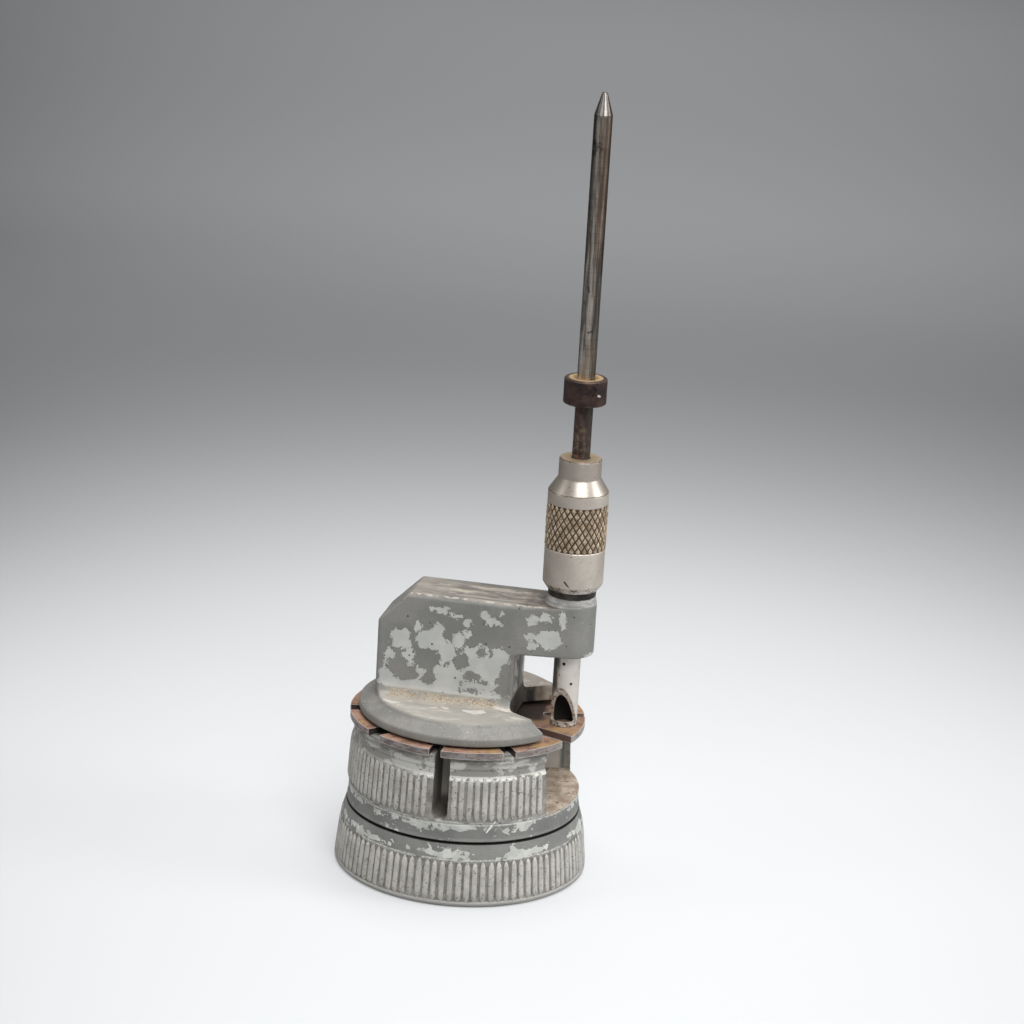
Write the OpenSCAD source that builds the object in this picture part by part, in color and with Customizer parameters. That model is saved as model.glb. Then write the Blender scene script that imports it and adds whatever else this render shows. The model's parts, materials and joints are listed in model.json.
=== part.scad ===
// Roller remover: a bench tool that presses the roller off a balance staff.
// The origin is the centre of the foot's bottom face, +Z is up and +X runs along the arm.

/* [Foot] */
// Height of the foot up to the gap under the drum
foot_h = 11.3; // [10:0.1:14]
// How far the foot's upper edge stands out beyond the drum's neck
foot_top_out = 1; // [0.6:0.05:1.6]
// How far the foot widens from its upper edge to its bottom band
foot_flare = 1.75; // [1:0.05:3]
// Height of the plain band below the foot's ribs
foot_band_h = 1; // [0.8:0.1:3]
// Height of the painted shoulder above the foot's ribs
foot_shoulder_h = 3; // [1:0.1:3.5]
// Height of the rounding at the foot's bottom edge
foot_edge_h = 0.6; // [0.3:0.1:0.9]
// Depth of the recess in the bottom face
foot_recess_d = 0.8; // [0.4:0.1:1.2]
// Width of the rim that the foot stands on
foot_rim_w = 3; // [2:0.5:5]

/* [Drum] */
// Running gap between the foot and the drum
drum_gap = 0.25; // [0.15:0.05:0.5]
// Height of the drum from its bottom face to the disc
drum_h = 15.65; // [14:0.05:20]
// Radius of the drum's neck under the disc
drum_neck_r = 20.15; // [19.5:0.05:20.6]
// How far the drum's bottom flange stands out beyond its neck
drum_flange_out = 0.65; // [0.4:0.05:0.9]
// Height of the drum's bottom flange, which is the floor of the pocket
drum_flange_h = 3.55; // [3:0.05:5]
// Height of the drum's ribbed band
drum_band_h = 8.1; // [6:0.1:9]
// How far the foot of the drum's ribs stands out beyond its neck
drum_rib_out = 1.15; // [1:0.05:1.4]
// How much narrower the drum is over the top of its ribs
drum_taper = 0.45; // [0.1:0.05:0.6]
// Radius of the hub that the disc turns on
hub_r = 5.8; // [5.4:0.1:5.9]
// Radius of the pocket that the balance hangs in
pocket_r = 11.5; // [9:0.1:11.6]
// Width of the narrow groove in the drum's side
groove_w = 2.8; // [1.5:0.1:3]
// Depth of the narrow groove below the drum's neck
groove_d = 6.65; // [2:0.05:8]
// Height of the groove's lower end above the drum's flange
groove_sill = 0.5; // [0.2:0.1:2]

/* [Ribs] */
// Number of ribs around the foot and the drum
rib_count = 97; // [60:1:105]
// Height of a rib above the casting
rib_h = 0.4; // [0.2:0.05:0.6]
// Width of a rib across its crest
rib_w = 0.92; // [0.5:0.02:1]

/* [Slotted disc] */
// How far the disc stands out beyond the drum's neck
disc_overhang = 1; // [0.5:0.05:1.6]
// Thickness of the disc
disc_t = 1.25; // [1:0.05:2]
// Length of the slots from the disc's edge to the middle of their round ends
slot_l = 6.55; // [5:0.05:8]
// Turn of the disc from the arm at rest
disc_turn = 14.5; // [12:0.5:18]
// Width of the narrowest slot
slot_w_min = 1.3; // [1:0.1:1.6]
// Width of the widest slot
slot_w_max = 3.4; // [2:0.1:3.6]
// Running clearance between the disc and the hub
disc_fit = 0.05; // [0.02:0.01:0.1]

/* [Frame] */
// Gap between the disc and the underside of the frame
frame_gap = 0.4; // [0.3:0.05:0.8]
// Width of the disc's rim that shows around the frame's flange
flange_inset = 1.55; // [1:0.05:2.5]
// Height of the flange's upright rim
flange_rim_h = 1.5; // [1:0.1:2]
// Width of the flange's cone
cone_w = 2.9; // [2:0.05:3.2]
// Height of the step above the flange's bottom
step_h = 3.25; // [2.5:0.05:4]
// Radius of the fillet between the column and the flange
column_fillet = 2.5; // [1:0.1:3]
// Ledge between the column's outer end and the flange's cone
column_ledge = 0.55; // [0.3:0.05:1.5]
// Distance from the foot's axis to the column's face at the throat
column_front = 8.8; // [7:0.1:9.5]
// Width of the column and the arm
arm_w = 11.3; // [9.2:0.1:13]
// Height of the arm's underside above the disc
throat_h = 13.65; // [12:0.05:20]
// Height of the arm from its underside to its top
arm_h = 9.2; // [8:0.1:12]
// Chamfer at the top of the column's outer end
column_chamfer = 5.7; // [2:0.1:7]
// Radius of the column's upright edges
column_edge_r = 0.8; // [0.4:0.1:1.5]
// Distance from the foot's axis to the punch axis
reach = 17.5; // [17.2:0.05:18.2]
// Radius of the boss at the end of the arm
boss_r = 4.55; // [4.4:0.05:5.4]
// Height of the worn lip on the boss, around the neck
lip_h = 1.6; // [0.8:0.1:2]
// Half width of the throat at the column's face
throat_w = 6.7; // [6:0.1:7.5]
// Angle of the throat's sides from the arm
throat_angle = 33; // [25:1:36]

/* [Spindle] */
// Radius of the spindle's journal in the foot
journal_r = 4; // [3.5:0.1:4.5]
// Radius of the spindle's upper stud in the drum and the frame
stud_r = 3; // [2.5:0.1:3.2]
// Radius of the spindle's lower thread
tail_r = 2.5; // [2:0.1:2.8]
// Radius of the spindle's flange under the drum
spindle_flange_r = 8; // [7:0.1:9]
// Thickness of the spindle's flange
spindle_flange_t = 1.5; // [1:0.1:2]
// Height of the nut recess in the foot
nut_recess_h = 5.2; // [5:0.1:6]
// Wall of the bronze bush in the foot
bush_wall = 1.2; // [0.8:0.1:1.5]
// Width of the spindle nut across its flats
nut_af = 9; // [8:0.5:10]
// Running clearance of the journal in its bush
journal_fit = 0.05; // [0.02:0.01:0.1]

/* [Neck and guide tube] */
// Radius of the threaded neck that stands on the boss
neck_r = 4.25; // [4:0.05:4.35]
// Height of the threaded neck above the arm
neck_h = 15; // [12:0.5:16]
// Radius of the neck sleeve inside the boss
sleeve_r = 3.4; // [3.2:0.05:3.6]
// Outer radius of the guide tube
tube_r = 2.38; // [2.25:0.01:2.45]
// Lift of the guide tube above the disc at rest
tube_rest_gap = 0.03; // [0.02:0.01:0.1]
// Height of the window in the guide tube, from its sill to its point
window_h = 6.6; // [4:0.1:8]
// Height of the closed ring below the window
window_sill = 0.85; // [0.8:0.05:2]
// Depth of the window's cut at its sill
window_d = 2.3; // [0.8:0.05:2.35]
// Direction that the window faces, from the arm
window_turn = -101; // [-110:1:-60]
// Radius of the wider bore in the guide tube's foot
tube_foot_bore_r = 1.78; // [1.7:0.01:1.9]
// Width of the keyway along the guide tube
keyway_w = 1.2; // [0.8:0.1:1.3]
// Depth of the keyway in the guide tube
keyway_d = 0.3; // [0.2:0.05:0.35]
// Travel of the guide tube upwards from the disc
tube_travel = 8; // [4:0.5:9]

/* [Thimble] */
// Radius of the thimble
thimble_r = 5.35; // [5.2:0.05:6]
// Height of the thimble's lower edge above the arm at rest
thimble_gap = 2.8; // [2.3:0.1:4]
// Length of the plain part below the knurl
thimble_low_h = 7.5; // [5:0.1:9]
// Length of the knurled band
knurl_h = 8.3; // [6:0.1:9]
// Radius over the knurl
knurl_r = 5.45; // [5.3:0.05:6.2]
// Length of the plain part above the knurl
thimble_top_h = 2.1; // [1.5:0.1:3]
// Height of the thimble's cone
cone_h = 2.4; // [1.5:0.1:4]
// Radius of the thimble's small neck
small_neck_r = 3.76; // [3.5:0.02:4.2]
// Length of the thimble's small neck
small_neck_h = 3.55; // [2.5:0.05:5]
// Running clearance of the sliding and screwed fits
fit = 0.06; // [0.02:0.01:0.09]

/* [Punch] */
// Radius of the punch rod
rod_r = 1.5875; // [1.3:0.0125:1.6]
// Length of the punch rod
rod_l = 103.6; // [90:0.1:103.9]
// Length of the cone at each end of the rod
rod_cone_l = 3.8; // [2:0.1:6]
// Radius of the flat at the rod's ends
rod_tip_r = 0.45; // [0.3:0.05:0.8]
// Radius of the pivot hole in the rod's ends
pivot_hole_r = 0.2; // [0.1:0.05:0.25]
// Depth of the pivot hole
pivot_hole_d = 1.2; // [0.6:0.1:2]
// Radius of the stop collar
collar_r = 3.77; // [3:0.01:4.5]
// Height of the stop collar
collar_h = 4.57; // [3:0.01:6]
// Depth of the countersink in the stop collar's top
collar_sink = 0.6; // [0.2:0.1:1]
// Height from the middle of the stop collar to the top of the rod
rod_above_collar = 52; // [45:0.1:52]
// Working stroke of the punch down to the stop collar
stroke = 9.8; // [6:0.1:9.8]

/* [Hidden] */
$fn = 96;
eps = 0.01;
cut = 30;

// Radii of the stack, counted from the drum's neck
foot_top_r = drum_neck_r + foot_top_out;
foot_r = foot_top_r + foot_flare;
drum_flange_r = drum_neck_r + drum_flange_out;
drum_rib_low_r = drum_neck_r + drum_rib_out;
drum_rib_top_r = drum_rib_low_r - drum_taper;
groove_floor_r = drum_neck_r - groove_d;
disc_r = drum_neck_r + disc_overhang;
slot_floor_r = disc_r - slot_l;
flange_r = disc_r - flange_inset;
step_r = flange_r - cone_w;
column_back = step_r - column_ledge;

// Heights of the stack, counted from the bench
drum_z = foot_h + drum_gap;
ledge_z = drum_z + drum_flange_h;
disc_z = drum_z + drum_h;
disc_top_z = disc_z + disc_t;
frame_z = disc_top_z + frame_gap;
step_z = frame_z + step_h;
arm_z = disc_top_z + throat_h;
arm_top_z = arm_z + arm_h;
lip_z = arm_top_z + lip_h;
neck_top_z = arm_top_z + neck_h;
tube_z = disc_top_z + tube_rest_gap;
thimble_z = arm_top_z + thimble_gap;
knurl_z = thimble_z + thimble_low_h;
cone_z = knurl_z + knurl_h + thimble_top_h;
small_neck_z = cone_z + cone_h;
thimble_top_z = small_neck_z + small_neck_h;
collar_z = thimble_top_z + stroke;
rod_top_z = collar_z + collar_h / 2 + rod_above_collar;
rod_z = rod_top_z - rod_l;

// Inside the foot
thrust_w = 5;
thrust_in_r = spindle_flange_r + 1;
thrust_out_r = thrust_in_r + thrust_w;
thrust_recess = 0.5;
nut_recess_r = 7.2;
spring_t = 0.5;
spring_w = 3;
washer_t = 0.6;
washer_w = 3.1;
washer_fit = 0.1;
bush_r = journal_r + bush_wall;
seat_z = nut_recess_h;
spring_z = seat_z - spring_t;
washer_z = spring_z - washer_t;
nut_h = 2.4;
nut_z = washer_z - nut_h;
tail_z = nut_z - 0.4;
nut_pin_r = 0.5;

// Inside the drum and the frame
stud_fit = 0.08;
stud_top_z = arm_z - 1.5;
key_pin_r = 0.7;
key_pin_at = (stud_r + hub_r) / 2 + 0.05;
key_pin_drop = 5;
key_pin_rise = 4;
disc_washer_in_r = hub_r + 0.6;
disc_washer_out_r = disc_washer_in_r + 1.8;
disc_washer_t = 0.3;
disc_washer_recess = 0.6;
lock_screw_r = 1.25;
lock_screw_z = arm_z - 5;

// Inside the thimble
tube_head_r = 3.6;
tube_head_t = 1;
cavity_r = neck_r + fit;
cavity_top_z = cone_z - 0.6;
thimble_washer_t = 0.5;
thimble_washer_z = cavity_top_z - thimble_washer_t;
tube_top_z = thimble_washer_z - 0.02;
tube_head_z = tube_top_z - tube_head_t;
snap_ring_t = 0.6;
snap_ring_z = tube_head_z - 0.05 - snap_ring_t;
snap_groove_d = 0.35;
snap_ring_gap = 1.2;
sleeve_slit = 0.5;
sleeve_bore_r = 2.35;
friction_wall_gap = 0.02;
friction_top_z = thimble_top_z - 1.9;
friction_z = cavity_top_z + 0.05;
key_screw_z = arm_z + arm_h * 0.45;
key_screw_r = keyway_w / 2 - 0.05;
key_screw_head_r = 1.3;
key_screw_head_h = 0.9;
key_seat_y = boss_r - 0.25;
slot_deep = 0.5;
slot_wide = 0.4;
tube_bore_r = rod_r + fit;
foot_bore_top_z = tube_z + window_sill + window_h + 1.2;
keyway_low_z = key_screw_z - tube_travel - 1.5;
keyway_top_z = key_screw_z + 1.5;
collar_pin_r = 0.6;
slot_count = 10;
rib_start = 0.6;
sweep_past = 5;

// Ring between two radii from z0 to z1
module ring(r_in, r_out, z0, z1) {
    translate([0, 0, z0])
        difference() {
            cylinder(r = r_out, h = z1 - z0);
            translate([0, 0, -eps])
                cylinder(r = r_in, h = z1 - z0 + 2 * eps);
        }
}

// Plain hole along Z from z0 to z1
module hole(r, z0, z1) {
    translate([0, 0, z0])
        cylinder(r = r, h = z1 - z0);
}

// Angle of one rib around the axis
function rib_angle(i) = (i + rib_start) * 360 / rib_count;

// Upright rib on +X, from radius r0 at z0 to radius r1 at z1
module rib(r0, z0, r1, z1) {
    sink = rib_h + 0.8;
    dip = rib_h + 0.15;
    inset = 0.1;
    tip = inset + rib_h;
    rotate([90, 0, 0])
        linear_extrude(height = rib_w, center = true)
            polygon([
                [r0 - sink, z0 + inset],
                [r0 - dip, z0 + inset],
                [r0, z0 + tip],
                [r1, z1 - tip],
                [r1 - dip, z1 - inset],
                [r1 - sink, z1 - inset]
            ]);
}

// Puts its children on the punch axis
module at_punch() {
    translate([reach, 0, 0])
        children();
}

module foot() {
    crest_low = foot_r - 0.03;
    crest_top = foot_top_r + 0.9;
    rib_top_z = foot_h - foot_shoulder_h;
    rim_r = foot_r - foot_edge_h;
    color([0.60, 0.60, 0.57])
        difference() {
            union() {
                rotate_extrude()
                    polygon([
                        [0, 0],
                        [rim_r, 0],
                        [foot_r - 0.15, foot_edge_h / 2],
                        [foot_r, foot_edge_h],
                        [crest_low, foot_band_h],
                        [crest_low - rib_h, foot_band_h],
                        [crest_top - rib_h, rib_top_z],
                        [crest_top, rib_top_z],
                        [foot_top_r, foot_h],
                        [0, foot_h]
                    ]);
                for (i = [0 : rib_count - 1])
                    rotate([0, 0, rib_angle(i)])
                        rib(crest_low, foot_band_h, crest_top, rib_top_z);
            }
            hole(rim_r - foot_rim_w, -eps, foot_recess_d);
            hole(nut_recess_r, -eps, nut_recess_h);
            hole(bush_r, nut_recess_h - eps, foot_h + eps);
            hole(thrust_out_r + 0.2, foot_h - thrust_recess, foot_h + eps);
        }
}

module foot_bush() {
    color([0.72, 0.53, 0.28])
        ring(journal_r + journal_fit, bush_r, nut_recess_h, foot_h - thrust_recess);
}

module thrust_washer() {
    color([0.72, 0.53, 0.28])
        ring(thrust_in_r, thrust_out_r, foot_h - thrust_recess, drum_z);
}

// Dished washer that keeps the drum from turning by itself
module spring_washer() {
    in_r = tail_r + washer_fit;
    out_r = in_r + spring_w;
    thin = spring_t / 2;
    color([0.45, 0.45, 0.47])
        rotate_extrude()
            polygon([
                [in_r, spring_z],
                [in_r, spring_z + thin],
                [out_r, seat_z],
                [out_r, seat_z - thin]
            ]);
}

module plain_washer() {
    color([0.62, 0.62, 0.62])
        ring(tail_r + washer_fit, tail_r + washer_fit + washer_w, washer_z, spring_z);
}

module spindle() {
    flange_z = drum_z;
    color([0.55, 0.55, 0.56])
        difference() {
            union() {
                hole(tail_r, tail_z, seat_z);
                hole(journal_r, seat_z, flange_z);
                hole(spindle_flange_r, flange_z, flange_z + spindle_flange_t);
                hole(stud_r, flange_z, stud_top_z);
            }
            translate([0, 0, nut_z + nut_h / 2])
                rotate([90, 0, 0])
                    cylinder(r = nut_pin_r, h = cut, center = true, $fn = 32);
        }
}

module spindle_nut() {
    color([0.50, 0.50, 0.50])
        difference() {
            translate([0, 0, nut_z])
                cylinder(r = nut_af / 2 / cos(30), h = nut_h, $fn = 6);
            hole(tail_r + 0.05, nut_z - eps, washer_z + eps);
            translate([0, 0, nut_z + nut_h / 2])
                rotate([90, 0, 0])
                    cylinder(r = nut_pin_r, h = cut, center = true, $fn = 32);
        }
}

module nut_pin() {
    color([0.66, 0.66, 0.64])
        translate([0, 0, nut_z + nut_h / 2])
            rotate([90, 0, 0])
                cylinder(r = nut_pin_r, h = nut_af + 1, center = true, $fn = 32);
}

// Half angle that the pocket takes out of the drum's side
pocket_side = acos((pow(drum_neck_r, 2) + pow(reach, 2) - pow(pocket_r, 2)) / (2 * drum_neck_r * reach));

// True for a rib that stands clear of the pocket and of the groove
function keeps_rib(a) =
    cos(a) < cos(pocket_side + asin(rib_w / drum_neck_r)) &&
    (sin(a) > 0 || abs(cos(a)) * drum_neck_r > (groove_w + rib_w) / 2 + 0.05);

module drum() {
    crest_low_z = ledge_z + 0.3;
    crest_top_z = crest_low_z + drum_band_h;
    valley_top = drum_rib_top_r - rib_h;
    neck_z = crest_top_z + 0.8;
    color([0.62, 0.62, 0.59])
        difference() {
            union() {
                rotate_extrude()
                    polygon([
                        [0, drum_z],
                        [drum_flange_r, drum_z],
                        [drum_flange_r + 0.4, drum_z + 0.25],
                        [drum_flange_r + 0.05, drum_z + 0.85],
                        [drum_flange_r, ledge_z],
                        [drum_rib_low_r - rib_h, crest_low_z],
                        [valley_top, crest_top_z],
                        [drum_neck_r, neck_z],
                        [drum_neck_r, disc_z],
                        [hub_r, disc_z],
                        [hub_r, frame_z],
                        [0, frame_z]
                    ]);
                for (i = [0 : rib_count - 1])
                    if (keeps_rib(rib_angle(i)))
                        rotate([0, 0, rib_angle(i)])
                            rib(drum_rib_low_r, crest_low_z, drum_rib_top_r, crest_top_z);
            }
            hole(stud_r + stud_fit, drum_z - eps, frame_z + eps);
            hole(spindle_flange_r + 0.1, drum_z - eps, drum_z + spindle_flange_t);
            for (side = [-1, 1])
                translate([0, side * key_pin_at, 0])
                    hole(key_pin_r, frame_z - key_pin_drop, frame_z + eps);
            at_punch()
                hole(pocket_r, ledge_z, disc_z + eps);
            translate([-groove_w / 2, -foot_r - sweep_past, ledge_z + groove_sill])
                cube([groove_w, foot_r + sweep_past - groove_floor_r, disc_z]);
        }
}

module key_pins() {
    color([0.70, 0.70, 0.70])
        for (side = [-1, 1])
            translate([0, side * key_pin_at, 0])
                hole(key_pin_r, frame_z - key_pin_drop, frame_z + key_pin_rise);
}

// Dished washer in the frame's underside that rubs on the disc
module disc_washer() {
    top = frame_z + disc_washer_recess;
    low = disc_top_z + 0.02;
    color([0.45, 0.45, 0.47])
        rotate_extrude()
            polygon([
                [disc_washer_in_r, top - disc_washer_t],
                [disc_washer_in_r, top],
                [disc_washer_out_r, low + disc_washer_t],
                [disc_washer_out_r, low]
            ]);
}

// Widths of the slots in order around the disc, as steps between the narrowest and the widest
slot_steps = [0.6, 1, 0.4, 0.5, 0.85, 0.25, 0.1, 0.7, 0, 0.3];
function slot_w(i) = slot_w_min + slot_steps[i] * (slot_w_max - slot_w_min);

module slotted_disc() {
    color([0.55, 0.38, 0.26])
        difference() {
            hole(disc_r, disc_z, disc_top_z);
            hole(hub_r + disc_fit, disc_z - eps, disc_top_z + eps);
            for (i = [0 : slot_count - 1])
                rotate([0, 0, disc_turn + (i - 5) * 360 / slot_count])
                    translate([slot_floor_r, 0, disc_z - eps]) {
                        translate([0, -slot_w(i) / 2, 0])
                            cube([disc_r, slot_w(i), disc_t + 2 * eps]);
                        cylinder(r = slot_w(i) / 2, h = disc_t + 2 * eps);
                    }
        }
}

// Plan of the column and the arm, with rounded upright edges
module arm_plan() {
    half = arm_w / 2;
    edge = column_edge_r;
    lean = atan2(half - boss_r, reach - column_front);
    translate([-column_back, -half + edge])
        square([column_back + column_front, arm_w - 2 * edge]);
    translate([-column_back + edge, -half])
        square([column_back + column_front - edge, arm_w]);
    for (side = [-1, 1])
        translate([-column_back + edge, side * (half - edge)])
            circle(r = edge);
    polygon([
        [column_front - eps, -half],
        [reach + boss_r * sin(lean), -boss_r * cos(lean)],
        [reach + boss_r * sin(lean), boss_r * cos(lean)],
        [column_front - eps, half]
    ]);
    translate([reach, 0])
        circle(r = boss_r);
}

// Side view of the column and the arm
module arm_side() {
    corner = 1;
    difference() {
        polygon([
            [-column_back, frame_z],
            [-column_back, arm_top_z - column_chamfer],
            [-column_back + column_chamfer, arm_top_z],
            [reach + boss_r + 1, arm_top_z],
            [reach + boss_r + 1, arm_z],
            [column_front + corner, arm_z],
            [column_front + corner, arm_z - corner],
            [column_front, arm_z - corner],
            [column_front, frame_z]
        ]);
        translate([column_front + corner, arm_z - corner])
            circle(r = corner);
    }
}

// Plan of the throat, a wedge with rounded inner corners
module throat_plan() {
    corner = 1.5;
    far = foot_r + sweep_past;
    far_w = throat_w + (far - column_front) * tan(throat_angle);
    corner_y = throat_w + corner * (tan(throat_angle) - 1 / cos(throat_angle));
    side_x = column_front + corner - corner * sin(throat_angle);
    side_y = corner_y + corner * cos(throat_angle);
    polygon([
        [column_front, -corner_y],
        [side_x, -side_y],
        [far, -far_w],
        [far, far_w],
        [side_x, side_y],
        [column_front, corner_y]
    ]);
    for (side = [-1, 1])
        translate([column_front + corner, side * corner_y])
            circle(r = corner);
}

// Cross-section of the column and the arm, with worn upper edges
module arm_section() {
    half = arm_w / 2;
    worn = 0.6;
    polygon([
        [-half, frame_z],
        [half, frame_z],
        [half, arm_top_z - worn],
        [half - worn, arm_top_z],
        [worn - half, arm_top_z],
        [-half, arm_top_z - worn]
    ]);
}

// Concave fillet along both sides of the column's foot
module column_fillets() {
    intersection() {
        hole(step_r, frame_z, arm_z);
        for (side = [0, 1])
            mirror([0, side, 0])
                translate([-column_back, arm_w / 2, step_z])
                    rotate([90, 0, 90])
                        linear_extrude(height = column_back + column_front)
                            difference() {
                                translate([-1, -1])
                                    square([column_fillet + 1, column_fillet + 1]);
                                translate([column_fillet, column_fillet])
                                    circle(r = column_fillet);
                            }
    }
}

// Lip with a worn slope on top of the boss
module boss_lip() {
    at_punch()
        rotate_extrude()
            polygon([
                [0, arm_top_z - 0.2],
                [boss_r - 0.03, arm_top_z - 0.2],
                [boss_r - 0.03, arm_top_z + 0.35],
                [boss_r - 0.35, lip_z],
                [0, lip_z]
            ]);
}

module frame() {
    color([0.48, 0.48, 0.46])
        difference() {
            union() {
                difference() {
                    union() {
                        rotate_extrude()
                            polygon([
                                [0, frame_z],
                                [flange_r, frame_z],
                                [flange_r, frame_z + flange_rim_h],
                                [step_r, step_z - 0.35],
                                [step_r, step_z],
                                [0, step_z]
                            ]);
                        column_fillets();
                    }
                    translate([0, 0, frame_z - eps])
                        linear_extrude(height = arm_z - frame_z)
                            throat_plan();
                }
                intersection() {
                    translate([0, 0, frame_z])
                        linear_extrude(height = arm_top_z - frame_z)
                            arm_plan();
                    translate([0, arm_w, 0])
                        rotate([90, 0, 0])
                            linear_extrude(height = 2 * arm_w)
                                arm_side();
                    translate([-2 * foot_r, 0, 0])
                        rotate([90, 0, 90])
                            linear_extrude(height = 4 * foot_r)
                                arm_section();
                }
                boss_lip();
            }
            hole(stud_r + stud_fit, frame_z - eps, stud_top_z + 0.5);
            ring(hub_r, disc_washer_out_r + 0.1, frame_z - eps, frame_z + disc_washer_recess);
            for (side = [-1, 1])
                translate([0, side * key_pin_at, 0])
                    hole(key_pin_r, frame_z - eps, frame_z + key_pin_rise);
            at_punch()
                hole(sleeve_r, arm_z - eps, lip_z + eps);
            translate([0, 0, lock_screw_z])
                rotate([-90, 0, 0])
                    cylinder(r = lock_screw_r, h = cut, $fn = 48);
            translate([reach, 0, key_screw_z])
                rotate([-90, 0, 0]) {
                    cylinder(r = key_screw_r, h = cut, $fn = 48);
                    translate([0, 0, key_seat_y])
                        cylinder(r = key_screw_head_r + 0.2, h = cut, $fn = 48);
                }
        }
}

// Headless screw that locks the spindle in the column
module spindle_lock_screw() {
    from = stud_r + 0.02;
    to = arm_w / 2 - 0.3;
    color([0.35, 0.35, 0.36])
        difference() {
            translate([0, from, lock_screw_z])
                rotate([-90, 0, 0])
                    cylinder(r = lock_screw_r - 0.03, h = to - from, $fn = 48);
            translate([-lock_screw_r, to - slot_deep, lock_screw_z - slot_wide / 2])
                cube([2 * lock_screw_r, 1, slot_wide]);
        }
}

module neck_sleeve() {
    color([0.12, 0.12, 0.12])
        difference() {
            at_punch()
                union() {
                    hole(sleeve_r, arm_z, lip_z);
                    hole(neck_r, lip_z, neck_top_z);
                }
            at_punch()
                hole(tube_r + fit, arm_z - eps, neck_top_z + eps);
            translate([reach, 0, key_screw_z])
                rotate([-90, 0, 0])
                    cylinder(r = key_screw_r, h = cut, $fn = 48);
        }
}

// Screw whose tip runs in the guide tube's keyway
module tube_key_screw() {
    from = tube_r - keyway_d + 0.05;
    head_top = key_seat_y + key_screw_head_h;
    color([0.40, 0.40, 0.42])
        difference() {
            translate([reach, 0, key_screw_z])
                rotate([-90, 0, 0]) {
                    translate([0, 0, from])
                        cylinder(r = key_screw_r - 0.03, h = head_top - from, $fn = 48);
                    translate([0, 0, key_seat_y])
                        cylinder(r = key_screw_head_r, h = key_screw_head_h, $fn = 48);
                }
            translate([reach - 2 * key_screw_head_r, head_top - slot_deep, key_screw_z - slot_wide / 2])
                cube([4 * key_screw_head_r, 1, slot_wide]);
        }
}

// Slanting cut that opens the window at the foot of the guide tube
module window_cut() {
    sill_z = tube_z + window_sill;
    rotate([0, 0, window_turn])
        translate([0, 2 * tube_r, 0])
            rotate([90, 0, 0])
                linear_extrude(height = 4 * tube_r)
                    polygon([
                        [tube_r - window_d, sill_z],
                        [tube_r + 1, sill_z],
                        [tube_r + 1, sill_z + window_h],
                        [tube_r, sill_z + window_h]
                    ]);
}

module guide_tube() {
    color([0.72, 0.70, 0.66])
        at_punch()
            difference() {
                union() {
                    hole(tube_r, tube_z, tube_top_z);
                    hole(tube_head_r, tube_head_z, tube_top_z);
                }
                hole(tube_bore_r, tube_z - eps, tube_top_z + eps);
                hole(tube_foot_bore_r, tube_z - eps, foot_bore_top_z);
                window_cut();
                translate([-keyway_w / 2, tube_r - keyway_d, keyway_low_z])
                    cube([keyway_w, 2, keyway_top_z - keyway_low_z]);
            }
}

// Split ring that holds the head of the guide tube up inside the thimble
module tube_snap_ring() {
    out_r = cavity_r + snap_groove_d - 0.02;
    color([0.30, 0.30, 0.31])
        at_punch()
            difference() {
                ring(tube_r + 0.35, out_r, snap_ring_z, snap_ring_z + snap_ring_t);
                translate([0, -snap_ring_gap / 2, snap_ring_z - eps])
                    cube([2 * out_r, snap_ring_gap, snap_ring_t + 2 * eps]);
            }
}

module thimble() {
    chamfer_h = 1.2;
    color([0.70, 0.67, 0.62])
        at_punch()
            difference() {
                rotate_extrude()
                    polygon([
                        [0, thimble_z],
                        [thimble_r - 0.75, thimble_z],
                        [thimble_r, thimble_z + chamfer_h],
                        [thimble_r, knurl_z],
                        [knurl_r, knurl_z + 0.15],
                        [knurl_r, knurl_z + knurl_h - 0.15],
                        [thimble_r, knurl_z + knurl_h],
                        [thimble_r, cone_z],
                        [small_neck_r, small_neck_z],
                        [small_neck_r, thimble_top_z - 0.25],
                        [small_neck_r - 0.25, thimble_top_z],
                        [0, thimble_top_z]
                    ]);
                hole(cavity_r, thimble_z - eps, cavity_top_z);
                hole(cavity_r + snap_groove_d, snap_ring_z - 0.02, snap_ring_z + snap_ring_t + 0.02);
                hole(sleeve_bore_r, cavity_top_z - eps, friction_top_z + 0.1);
                hole(rod_r + fit, friction_top_z, thimble_top_z + eps);
            }
}

module thimble_washer() {
    color([0.72, 0.53, 0.28])
        at_punch()
            ring(rod_r + 0.15, tube_head_r, thimble_washer_z, cavity_top_z);
}

// Slit sleeve that grips the rod and holds it at any height
module friction_sleeve() {
    color([0.72, 0.53, 0.28])
        at_punch()
            difference() {
                ring(rod_r + friction_wall_gap, sleeve_bore_r - 0.02, friction_z, friction_top_z);
                translate([0, -sleeve_slit / 2, friction_z - 1])
                    cube([2 * sleeve_bore_r, sleeve_slit, cut]);
            }
}

module punch_rod() {
    color([0.58, 0.56, 0.53])
        at_punch()
            difference() {
                rotate_extrude()
                    polygon([
                        [0, rod_z],
                        [rod_tip_r, rod_z],
                        [rod_r, rod_z + rod_cone_l],
                        [rod_r, rod_top_z - rod_cone_l],
                        [rod_tip_r, rod_top_z],
                        [0, rod_top_z]
                    ]);
                hole(pivot_hole_r, rod_z - eps, rod_z + pivot_hole_d);
                hole(pivot_hole_r, rod_top_z - pivot_hole_d, rod_top_z + eps);
                collar_cross_hole();
            }
}

// Cross hole for the pin of the stop collar
module collar_cross_hole() {
    translate([0, 0, collar_z + collar_h / 2])
        rotate([90, 0, 20])
            cylinder(r = collar_pin_r, h = cut, center = true, $fn = 32);
}

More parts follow.
